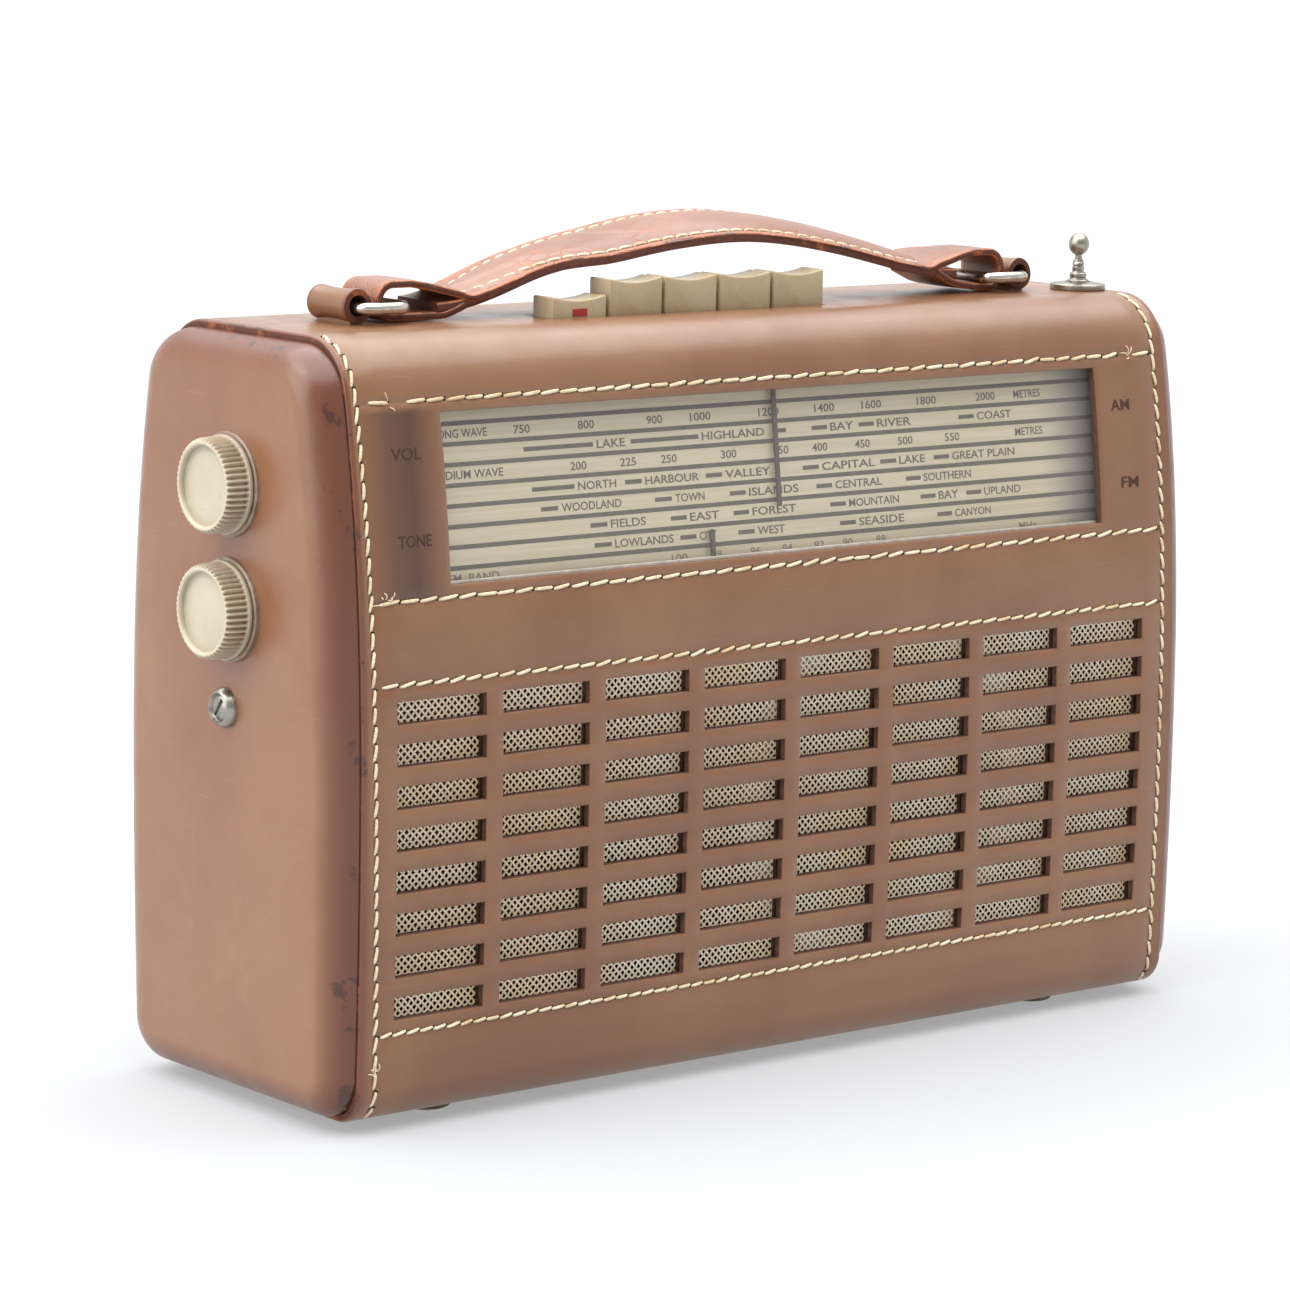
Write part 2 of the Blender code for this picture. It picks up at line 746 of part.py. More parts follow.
CELL_RADIUS = 16.5 * MM
CELL_LENGTH = 60.8 * MM
CELL_Y = 20.0 * MM
CELL_Z = 29.0 * MM
tray = [
    (CELL_Y - 18.2 * MM, 0.0400),
    (CELL_Y - 18.2 * MM, 0.0110),
    (CELL_Y + 18.2 * MM, 0.0110),
    (CELL_Y + 18.2 * MM, 0.0400),
    (CELL_Y + 17.0 * MM, 0.0400),
    (CELL_Y + 17.0 * MM, 0.0122),
    (CELL_Y - 17.0 * MM, 0.0122),
    (CELL_Y - 17.0 * MM, 0.0400),
]
outline("battery_box", [tray], -0.1240, 0.1240, "X", BLACK)
for index in range(4):
    x = (index - 1.5) * (CELL_LENGTH + 0.4 * MM)
    half = CELL_LENGTH / 2
    turned(
        "battery_%d" % (index + 1),
        [
            (0.0, half),
            (4.5 * MM, half),
            (4.5 * MM, half - 2 * MM),
            (CELL_RADIUS, half - 2 * MM),
            (CELL_RADIUS, -half),
            (0.0, -half),
        ],
        (x, CELL_Y, CELL_Z),
        "X",
        CELL,
        16,
    )

# ----------------------------------------------------------------------- knobs


def knob_mesh(shaft):
    """Fluted disc with a dished face, a base flange and a shaft; local Z points away from the case."""
    loop = []
    for index in range(2 * FLUTES):
        angle = math.pi * index / FLUTES
        radius = KNOB_RADIUS if index % 2 else KNOB_RADIUS - 0.7 * MM
        loop.append((radius * math.cos(angle), radius * math.sin(angle)))
    body = outline("knob", [loop], 0.6 * MM, KNOB_HEIGHT, "Z", IVORY)
    flange = cylinder("knob_flange", (0, 0, 0.5 * MM), KNOB_RADIUS + 0.2 * MM, 1.0 * MM, "Z", IVORY, 32)
    body = join(body, flange)
    stem = cylinder("knob_stem", (0, 0, 0.4 * MM - shaft / 2), 3.0 * MM, shaft, "Z", IVORY, 16)
    body = join(body, stem)
    dish = cylinder(
        "knob_dish", (0, 0, KNOB_HEIGHT), 9.0 * MM, 3.6 * MM, "Z", None, 32, 0.0, 10.6 * MM
    )
    cut(body, dish)
    solid = baked(body)
    bpy.data.objects.remove(dish, do_unlink=True)
    mesh = solid.data
    mesh.transform(solid.matrix_world)
    bpy.data.objects.remove(solid, do_unlink=True)
    return mesh


short_knob = knob_mesh(14.0 * MM)
long_knob = knob_mesh(26.0 * MM)
RING_THICK = 0.9 * MM
KNOB_BASE = CASE_HALF_WIDTH + GAP + RING_THICK + GAP


def knob(name, mesh, side, z):
    obj = bpy.data.objects.new(name, mesh)
    obj.location = (side * KNOB_BASE, KNOB_Y, z)
    obj.rotation_euler = AXIS_TURN["X" if side > 0 else "-X"]
    put(obj, name, None)
    if not mesh.materials:
        mesh.materials.append(IVORY)
    smooth(obj)
    ring_x = side * (CASE_HALF_WIDTH + GAP + RING_THICK / 2)
    turned(
        name + "_ring",
        [
            (13.3 * MM, 0.25 * MM),
            (13.5 * MM, -0.45 * MM),
            (4.6 * MM, -0.45 * MM),
            (4.6 * MM, 0.45 * MM),
            (13.0 * MM, 0.45 * MM),
        ],
        (ring_x, KNOB_Y, z),
        "X" if side > 0 else "-X",
        STEEL,
        24,
    )
    return obj


knob("volume_knob", short_knob, -1, KNOB_UPPER_Z)
knob("tone_knob", short_knob, -1, KNOB_LOWER_Z)
knob("am_tuning_knob", long_knob, 1, KNOB_UPPER_Z)
knob("fm_tuning_knob", long_knob, 1, KNOB_LOWER_Z)

# ------------------------------------------------------------------- band keys


def band_key(index):
    """A key cap with a saddle-shaped top and a stem that runs down into the switch."""
    name = "band_key_%d" % (index + 1)
    x = KEY_FIRST_X + index * KEY_PITCH
    pressed = KEY_TRAVEL if index == 0 else 0.0
    top = CASE_TOP + KEY_STAND - pressed
    cap = box(name, (x - KEY_WIDTH / 2, KEY_FRONT, top - 0.0160), (x + KEY_WIDTH / 2, KEY_BACK, top), IVORY)
    cap = join(
        cap,
        box(
            name + "_stem",
            (x - 3.0 * MM, KEY_FRONT + 2.8 * MM, top - 0.0370),
            (x + 3.0 * MM, KEY_BACK - 2.8 * MM, top - 0.0155),
            IVORY,
        ),
    )
    saddle = cylinder(
        name + "_saddle", (x, (KEY_FRONT + KEY_BACK) / 2, top + 39.2 * MM), 0.0400, 0.020, "Y", None, 96
    )
    cut(cap, as_cutter(saddle))
    edges = cap.modifiers.new("edges", "BEVEL")
    edges.width = 0.5 * MM
    edges.segments = 1
    edges.limit_method = "ANGLE"
    edges.angle_limit = math.radians(50)
    return cap


for key_index in range(KEY_COUNT):
    band_key(key_index)

# ------------------------------------------------------------------ rod aerial

turned(
    "aerial_socket",
    [
        (3.4 * MM, 2.2 * MM),
        (4.2 * MM, 2.2 * MM),
        (7.4 * MM, 1.0 * MM),
        (7.7 * MM, 0.3 * MM),
        (3.8 * MM, 0.3 * MM),
        (3.8 * MM, -125.0 * MM),
        (3.4 * MM, -125.0 * MM),
    ],
    (AERIAL_X, AERIAL_Y, CASE_TOP),
    "Z",
    NICKEL,
    20,
)
SECTION_OUTER = (3.0 * MM, 2.35 * MM, 1.7 * MM)
SECTION_INNER = (2.7 * MM, 2.05 * MM, 1.4 * MM)
STEP_RISE = 1.9 * MM
for index in range(3):
    rise = 2.8 * MM + STEP_RISE * index
    turned(
        "aerial_section_%d" % (index + 1),
        [
            (SECTION_OUTER[index] - 0.1 * MM, rise),
            (SECTION_OUTER[index], rise - 0.3 * MM),
            (SECTION_OUTER[index], rise - AERIAL_LENGTH),
            (SECTION_INNER[index], rise - AERIAL_LENGTH),
            (SECTION_INNER[index], rise),
        ],
        (AERIAL_X, AERIAL_Y, CASE_TOP),
        "Z",
        NICKEL,
        16,
    )
TIP_Z = 13.4 * MM
TIP_RADIUS = 3.1 * MM
tip = []
for step in range(7):
    angle = math.radians(90 - 160 * step / 6)
    tip.append((max(0.0, TIP_RADIUS * math.cos(angle)) if step else 0.0, TIP_Z + TIP_RADIUS * math.sin(angle)))
tip += [(1.1 * MM, 9.6 * MM), (1.1 * MM, 9.6 * MM - AERIAL_LENGTH), (0.0, 9.6 * MM - AERIAL_LENGTH)]
turned("aerial_section_4", tip, (AERIAL_X, AERIAL_Y, CASE_TOP), "Z", NICKEL, 16)

# ---------------------------------------------------------------------- handle


def tab(name, side):
    """A folded leather loop that holds the ring, with its tail through the top of the case."""
    x = side * TAB_X
    outer = [(x - 2.0 * MM, 0.1850), (x + 2.0 * MM, 0.1850), (x + 2.0 * MM, 0.1953)]
    for step in range(13):
        angle = math.radians(-50 + 280 * step / 12)
        outer.append((x + 4.6 * MM * math.cos(angle), TAB_Z + 4.6 * MM * math.sin(angle)))
    outer.append((x - 2.0 * MM, 0.1953))
    hole = []
    for step in range(12):
        angle = math.tau * step / 12
        hole.append((x + 2.7 * MM * math.cos(angle), TAB_Z + 2.7 * MM * math.sin(angle)))
    loop = outline(name, [outer, hole], -8.0 * MM, 8.0 * MM, "Y", STRAP_LEATHER)
    for face in (-1, 1):
        y_0, y_1 = sorted((face * 7.2 * MM, face * 12.0 * MM))
        trim = box(name + "_trim_%d" % face, (x - 0.010, y_0, 0.1800), (x + 0.010, y_1, 0.1954), None)
        cut(loop, as_cutter(trim))
    smooth(loop)
    return loop


tab("left_handle_tab", -1)
tab("right_handle_tab", 1)


def wire_path(name, points, radius, mat, location=(0.0, 0.0, 0.0)):
    curve = bpy.data.curves.new(name, "CURVE")
    curve.dimensions = "3D"
    curve.bevel_depth = radius
    curve.bevel_resolution = 2
    spline = curve.splines.new("POLY")
    spline.points.add(len(points) - 1)
    for point, co in zip(spline.points, points):
        point.co = (*co, 1.0)
    spline.use_cyclic_u = True
    obj = bpy.data.objects.new(name, curve)
    obj.location = location
    put(obj, name, mat)
    return obj


def handle_ring(name, side):
    """A rounded rectangle of wire; its origin is on the bar that turns in the tab."""
    loop = rounded(-RING_REACH / 2, RING_REACH / 2, -RING_HALF, RING_HALF, 3.0 * MM, 3)
    points = [(x - side * RING_REACH / 2, y, 0.0) for x, y in loop]
    ring = wire_path(name, points, RING_WIRE, NICKEL, (side * TAB_X, 0.0, RING_Z))
    solid = baked(ring)
    put(solid, name, NICKEL)
    smooth(solid, 60)
    return solid


handle_ring("left_handle_ring", -1)
handle_ring("right_handle_ring", 1)

STRAP_THICK = 2.8 * MM
STRAP_CROWN = 1.4 * MM
LOOP_END = 106.4 * MM
LOOP_NEAR = 89.0 * MM
LOOP_LOW = 195.4 * MM
LOOP_HIGH = {-1: 205.6 * MM, 1: 207.0 * MM}
LOOP_WALL = 2.0 * MM
STRAP_END_Z = {-1: 198.2 * MM, 1: 200.8 * MM}
STRAP_TOP_Z = 213.2 * MM
STRAP_TOP_X = 3.0 * MM
STRAP_FULLNESS = {-1: 1.78, 1: 1.0}


def strap_height(x):
    """Height of the strap's middle line: a low arch, fuller on the left, that meets the end loops."""
    side = -1 if x < STRAP_TOP_X else 1
    reach = abs(side * LOOP_NEAR - STRAP_TOP_X)
    share = min(1.0, abs(x - STRAP_TOP_X) / reach)
    low = STRAP_END_Z[side]
    arch = 0.5 + 0.5 * math.cos(math.pi * share ** STRAP_FULLNESS[side])
    return low + (STRAP_TOP_Z - low) * arch


def strap():
    """The padded strap between two folded end loops, as one body."""
    section = bpy.data.curves.new("strap_section", "CURVE")
    section.dimensions = "2D"
    spline = section.splines.new("POLY")
    half = STRAP_THICK / 2
    across = [
        (-STRAP_HALF, -half),
        (STRAP_HALF, -half),
        (STRAP_HALF, half),
        (STRAP_HALF * 0.5, half + STRAP_CROWN),
        (-STRAP_HALF * 0.5, half + STRAP_CROWN),
        (-STRAP_HALF, half),
    ]
    spline.points.add(len(across) - 1)
    for point, (u, v) in zip(spline.points, across):
        point.co = (u, v, 0.0, 1.0)
    spline.use_cyclic_u = True
    guide = bpy.data.objects.new("strap_section", section)
    as_cutter(guide)
    path = bpy.data.curves.new("handle_strap", "CURVE")
    path.dimensions = "3D"
    path.bevel_mode = "OBJECT"
    path.bevel_object = guide
    path.use_fill_caps = True
    path.twist_mode = "Z_UP"
    line = path.splines.new("POLY")
    steps = 26
    line.points.add(steps)
    for index, point in enumerate(line.points):
        x = -LOOP_NEAR + 2 * LOOP_NEAR * index / steps
        point.co = (x, 0.0, strap_height(x), 1.0)
    body = bpy.data.objects.new("handle_strap", path)
    put(body, "handle_strap", STRAP_LEATHER)
    body = baked(body)
    put(body, "handle_strap", STRAP_LEATHER)
    for side in (-1, 1):
        x_0, x_1 = sorted((side * (LOOP_NEAR - 4 * MM), side * LOOP_END))
        outer = rounded(x_0, x_1, LOOP_LOW, LOOP_HIGH[side], 4.6 * MM, 4)
        near, far = side * LOOP_NEAR, side * (LOOP_END - LOOP_WALL)
        h_0, h_1 = sorted((near, far))
        inner = rounded(h_0, h_1, LOOP_LOW + LOOP_WALL, LOOP_HIGH[side] - LOOP_WALL, 2.8 * MM, 3)
        loop = outline("strap_loop", [outer, inner], -8.0 * MM, 8.0 * MM, "Y", STRAP_LEATHER)
        body = join(body, loop)
    smooth(body, 40)
    return body


strap()

# ------------------------------------------------------------------------ feet

for side, side_name in ((-1, "left"), (1, "right")):
    for face, face_name in ((-1, "front"), (1, "back")):
        turned(
            "foot_%s_%s" % (face_name, side_name),
            [
                (6.6 * MM, 2.2 * MM),
                (6.6 * MM, 1.4 * MM),
                (5.4 * MM, 0.0),
                (0.0, 0.0),
                (0.0, 2.2 * MM),
            ],
            (side * 0.1040, face * 0.0290, 0.0),
            "Z",
            FOOT,
            20,
        )
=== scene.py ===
"""The looks of the leather portable radio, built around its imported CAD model."""

import math

import bmesh
import bpy
import numpy as np
from mathutils import Matrix, Vector


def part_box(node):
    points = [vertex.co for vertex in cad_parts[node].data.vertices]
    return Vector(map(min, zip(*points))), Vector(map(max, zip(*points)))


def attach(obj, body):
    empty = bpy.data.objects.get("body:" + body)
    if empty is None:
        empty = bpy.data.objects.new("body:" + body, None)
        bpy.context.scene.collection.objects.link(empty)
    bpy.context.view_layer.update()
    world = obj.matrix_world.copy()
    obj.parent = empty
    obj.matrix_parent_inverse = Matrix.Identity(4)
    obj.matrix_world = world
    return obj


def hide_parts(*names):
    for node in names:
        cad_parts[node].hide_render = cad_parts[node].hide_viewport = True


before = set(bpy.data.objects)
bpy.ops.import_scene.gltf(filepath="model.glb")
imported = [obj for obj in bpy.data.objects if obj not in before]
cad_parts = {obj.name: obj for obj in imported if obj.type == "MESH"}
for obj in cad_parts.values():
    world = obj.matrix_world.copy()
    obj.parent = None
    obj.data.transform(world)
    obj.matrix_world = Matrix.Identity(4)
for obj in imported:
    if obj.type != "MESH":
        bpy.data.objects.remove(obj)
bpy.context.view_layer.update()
MM = 0.001

# ------------------------------------------------------------------- camera

camera = bpy.data.objects.new("camera", bpy.data.cameras.new("camera"))
bpy.context.scene.collection.objects.link(camera)
bpy.context.scene.camera = camera
camera.data.sensor_width = 36.0
camera.data.lens = 133.95
camera.data.clip_start = 0.05
camera.data.clip_end = 50.0
CAMERA_FORWARD = Vector((0.622251, 0.766682, -0.158120))
CAMERA_RIGHT = Vector((0.778271, -0.627624, 0.019551))
CAMERA_UP = CAMERA_RIGHT.cross(CAMERA_FORWARD).normalized()
camera.matrix_world = Matrix(
    [
        (CAMERA_RIGHT.x, CAMERA_UP.x, -CAMERA_FORWARD.x, -0.80214),
        (CAMERA_RIGHT.y, CAMERA_UP.y, -CAMERA_FORWARD.y, -0.97337),
        (CAMERA_RIGHT.z, CAMERA_UP.z, -CAMERA_FORWARD.z, 0.30600),
        (0, 0, 0, 1),
    ]
)

# ----------------------------------------------------------- mesh helpers


def link(name, verts, faces, mats, face_mats=None, smooth=True, angle=40.0):
    """A mesh object from points and faces, its normals out and its sharp edges kept."""
    mesh = bpy.data.meshes.new(name)
    mesh.from_pydata([tuple(map(float, v)) for v in verts], [], [tuple(map(int, f)) for f in faces])
    for mat in mats:
        mesh.materials.append(mat)
    if face_mats is not None:
        mesh.polygons.foreach_set("material_index", np.asarray(face_mats, np.int32))
    mesh.validate()
    work = bmesh.new()
    work.from_mesh(mesh)
    bmesh.ops.recalc_face_normals(work, faces=work.faces)
    work.to_mesh(mesh)
    work.free()
    if smooth:
        mesh.shade_smooth()
        mesh.set_sharp_from_angle(angle=math.radians(angle))
    obj = bpy.data.objects.new(name, mesh)
    bpy.context.scene.collection.objects.link(obj)
    return obj


def evaluated(obj):
    """A new mesh with an object's modifiers or curve settings applied."""
    bpy.context.view_layer.update()
    return bpy.data.meshes.new_from_object(obj.evaluated_get(bpy.context.evaluated_depsgraph_get()))


def place(obj, body, slot, *nodes):
    """Ties a piece to its body and hides the CAD nodes it stands for; slot is not used."""
    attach(obj, body)
    if nodes:
        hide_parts(*nodes)
    return obj


def attribute(obj, name, values):
    data = obj.data.attributes.new(name, "FLOAT", "POINT")
    data.data.foreach_set("value", np.asarray(values, np.float32))


def grid_faces(rows, columns, close_rows=False, close_columns=False, first=0):
    faces = []
    for i in range(rows if close_rows else rows - 1):
        for j in range(columns if close_columns else columns - 1):
            a = first + i * columns + j
            b = first + i * columns + (j + 1) % columns
            c = first + ((i + 1) % rows) * columns + (j + 1) % columns
            d = first + ((i + 1) % rows) * columns + j
            faces.append((a, b, c, d))
    return faces


def closed_faces(rings, count, first=0):
    """The sides and both ends of a tube of rings, each with the same count of points."""
    last = first + (rings - 1) * count
    ends = [tuple(first + k for k in range(count)), tuple(last + k for k in range(count))]
    return grid_faces(rings, count, False, True, first) + ends


def axis_matrix(axis, centre):
    """Local +Z along an axis, at a place."""
    turn = Vector((0, 0, 1)).rotation_difference(Vector(axis)).to_matrix().to_4x4()
    return Matrix.Translation(Vector(centre)) @ turn


def ring_faces(rings, steps):
    """The faces between rings of points about an axis; a ring of one point is a pole."""
    faces = []
    for first, second in zip(rings, rings[1:]):
        for k in range(steps):
            n = (k + 1) % steps
            if len(first) == 1:
                faces.append((first[0], second[k], second[n]))
            elif len(second) == 1:
                faces.append((first[k], second[0], first[n]))
            else:
                faces.append((first[k], second[k], second[n], first[n]))
    return faces


def turned(name, profile, axis, centre, mats, steps=64, angle=32.0):
    """A closed profile of (radius, height) turned about an axis."""
    verts, rings = [], []
    for radius, height in profile:
        if radius < 1e-7:
            rings.append([len(verts)])
            verts.append((0.0, 0.0, height))
            continue
        ring = []
        for step in range(steps):
            a = math.tau * step / steps
            ring.append(len(verts))
            verts.append((radius * math.cos(a), radius * math.sin(a), height))
        rings.append(ring)
    closed = profile[0][0] > 1e-7
    faces = ring_faces(rings + rings[:1] if closed else rings, steps)
    matrix = axis_matrix(axis, centre)
    verts = [matrix @ Vector(v) for v in verts]
    return link(name, verts, faces, mats, angle=angle)


def tube_data(path, radius, sides, closed=False, first=0, squash=None, up=None):
    """Rings of a tube along points; radius may be one number or one per point."""
    points = [Vector(p) for p in path]
    count = len(points)
    verts = []
    normal = None
    for k, point in enumerate(points):
        if closed:
            tangent = points[(k + 1) % count] - points[k - 1]
        else:
            tangent = points[min(k + 1, count - 1)] - points[max(k - 1, 0)]
        tangent.normalize()
        if up is not None:
            normal = Vector(up[k] if isinstance(up, list) else up)
        elif normal is None:
            normal = Vector((0, 0, 1)) if abs(tangent.z) < 0.9 else Vector((1, 0, 0))
        normal = (normal - tangent * normal.dot(tangent)).normalized()
        side = tangent.cross(normal)
        size = radius[k] if isinstance(radius, (list, tuple)) else radius
        for s in range(sides):
            a = math.tau * s / sides
            flat = squash or 1.0
            verts.append(point + side * (math.cos(a) * size) + normal * (math.sin(a) * size * flat))
    faces = grid_faces(count, sides, True, True, first) if closed else closed_faces(count, sides, first)
    return verts, faces


def offset_loop(loop, inset):
    """A closed loop of 2D points moved inwards; the loop runs anticlockwise."""
    points = np.array(loop, float)
    before, after = np.roll(points, 1, 0), np.roll(points, -1, 0)
    first, second = points - before, after - points
    first /= np.linalg.norm(first, axis=1)[:, None]
    second /= np.linalg.norm(second, axis=1)[:, None]
    n_1 = np.stack([-first[:, 1], first[:, 0]], 1)
    n_2 = np.stack([-second[:, 1], second[:, 0]], 1)
    n = n_1 + n_2
    n /= np.linalg.norm(n, axis=1)[:, None]
    reach = inset / np.maximum(0.6, (n * n_1).sum(1))
    return points + n * reach[:, None]


def area_sign(loop):
    points = np.array(loop, float)
    after = np.roll(points, -1, 0)
    return np.sign((points[:, 0] * after[:, 1] - after[:, 0] * points[:, 1]).sum())


def prism(loop, low, high, to_space, low_round=0.0, high_round=0.0, steps=4, first=0):
    """A loop carried from low to high with rounded rims. to_space((u, v), h) gives a point."""
    if area_sign(loop) < 0:
        loop = list(reversed(loop))
    rings = []
    if low_round:
        for k in range(steps):
            a = math.pi / 2 * k / steps
            rings.append((low_round * (1 - math.sin(a)), low + low_round * (1 - math.cos(a))))
    rings.append((0.0, low + low_round))
    rings.append((0.0, high - high_round))
    if high_round:
        for k in range(1, steps + 1):
            a = math.pi / 2 * k / steps
            rings.append((high_round * (1 - math.cos(a)), high - high_round * (1 - math.sin(a))))
    verts = []
    for inset, height in rings:
        ring = offset_loop(loop, inset) if inset else np.array(loop, float)
        verts += [to_space(p, height) for p in ring]
    return verts, closed_faces(len(rings), len(loop), first)


def from_front(p, h):
    """A prism drawn in x and z that runs from front to back."""
    return Vector((p[0], h, p[1]))


def from_below(p, h):
    """A prism drawn in x and y that runs upwards."""
    return Vector((p[0], p[1], h))


def rounded_rect(x_0, x_1, y_0, y_1, radius, steps=6):
    loop = []
    for cx, cy, start in (
        (x_1 - radius, y_1 - radius, 0),
        (x_0 + radius, y_1 - radius, 90),
        (x_0 + radius, y_0 + radius, 180),
        (x_1 - radius, y_0 + radius, 270),
    ):
        for k in range(steps + 1):
            a = math.radians(start + 90 * k / steps)
            loop.append((cx + radius * math.cos(a), cy + radius * math.sin(a)))
    return loop


def dense(loop, spacing):
    """A closed 2D loop again, with points along its longer sides."""
    out = []
    for (x_0, y_0), (x_1, y_1) in zip(loop, loop[1:] + loop[:1]):
        pieces = max(1, int(math.hypot(x_1 - x_0, y_1 - y_0) / spacing))
        for k in range(pieces):
            t = k / pieces
            out.append((x_0 + (x_1 - x_0) * t, y_0 + (y_1 - y_0) * t))
    return out


# ------------------------------------------------------- material helpers


def srgb(text):
    out = []
    for k in (0, 2, 4):
        c = int(text[k : k + 2], 16) / 255
        out.append(c / 12.92 if c <= 0.04045 else ((c + 0.055) / 1.055) ** 2.4)
    return (*out, 1.0)


class Shade:
    """A Principled material with short ways to add nodes."""

    def __init__(self, name, colour, roughness, metallic=0.0, **sockets):
        self.mat = bpy.data.materials.new(name)
        self.mat.use_nodes = True
        self.tree = self.mat.node_tree
        self.shader = self.tree.nodes["Principled BSDF"]
        self.shader.inputs["Base Color"].default_value = colour
        self.shader.inputs["Roughness"].default_value = roughness
        self.shader.inputs["Metallic"].default_value = metallic
        for key, value in sockets.items():
            self.shader.inputs[key.replace("_", " ")].default_value = value
        self.mat.diffuse_color = colour
        self.where = self.node("ShaderNodeTexCoord").outputs["Object"]
        self.height = None

    def node(self, kind, **settings):
        made = self.tree.nodes.new(kind)
        for key, value in settings.items():
            setattr(made, key, value)
        return made

    def feed(self, socket, value):
        if isinstance(value, bpy.types.NodeSocket):
            self.tree.links.new(value, socket)
        else:
            socket.default_value = value

    def scaled(self, x, y, z, turn=(0, 0, 0)):
        made = self.node("ShaderNodeMapping")
        made.inputs["Scale"].default_value = (x, y, z)
        made.inputs["Rotation"].default_value = turn
        self.feed(made.inputs["Vector"], self.where)
        return made.outputs["Vector"]

    def noise(self, scale, detail=3.0, rough=0.5, vector=None, warp=0.0):
        made = self.node("ShaderNodeTexNoise")
        self.feed(made.inputs["Vector"], vector or self.where)
        made.inputs["Scale"].default_value = scale
        made.inputs["Detail"].default_value = detail
        made.inputs["Roughness"].default_value = rough
        made.inputs["Distortion"].default_value = warp
        return made.outputs["Fac"]

    def cells(self, scale, feature="F1", vector=None, output="Distance"):
        made = self.node("ShaderNodeTexVoronoi", feature=feature)
        self.feed(made.inputs["Vector"], vector or self.where)
        made.inputs["Scale"].default_value = scale
        return made.outputs[output]

    def bands(self, scale, vector, warp=0.0, detail=2.0, direction="X"):
        made = self.node("ShaderNodeTexWave", bands_direction=direction)
        self.feed(made.inputs["Vector"], vector)
        made.inputs["Scale"].default_value = scale
        made.inputs["Distortion"].default_value = warp
        made.inputs["Detail"].default_value = detail
        return made.outputs["Fac"]

    def ramp(self, value, low, high, out_low=0.0, out_high=1.0):
        made = self.node("ShaderNodeMapRange", interpolation_type="SMOOTHSTEP")
        self.feed(made.inputs["Value"], value)
        for key, number in (("From Min", low), ("From Max", high), ("To Min", out_low), ("To Max", out_high)):
            made.inputs[key].default_value = number
        return made.outputs["Result"]

    def mix(self, share, first, second, blend="MIX"):
        made = self.node("ShaderNodeMix", data_type="RGBA", blend_type=blend)
        self.feed(made.inputs["Factor"], share)
        self.feed(made.inputs["A"], first)
        self.feed(made.inputs["B"], second)
        return made.outputs["Result"]

    def sum(self, operation, first, second):
        made = self.node("ShaderNodeMath", operation=operation)
        self.feed(made.inputs[0], first)
        self.feed(made.inputs[1], second)
        return made.outputs[0]

    def named(self, name):
        made = self.node("ShaderNodeAttribute", attribute_name=name)
        return made.outputs["Fac"]

    def axis(self, which):
        made = self.node("ShaderNodeSeparateXYZ")
        self.feed(made.inputs[0], self.where)
        return made.outputs[which]

    def colour(self, value):
        self.feed(self.shader.inputs["Base Color"], value)
        return self

    def rough(self, value):
        self.feed(self.shader.inputs["Roughness"], value)
        return self

    def bump(self, value, strength, distance):
        made = self.node("ShaderNodeBump")
        made.inputs["Strength"].default_value = strength
        made.inputs["Distance"].default_value = distance
        self.feed(made.inputs["Height"], value)
        if self.height is not None:
            self.feed(made.inputs["Normal"], self.height)
        self.height = made.outputs["Normal"]
        self.feed(self.shader.inputs["Normal"], self.height)
        return self


# ---------------------------------------------------------------- materials


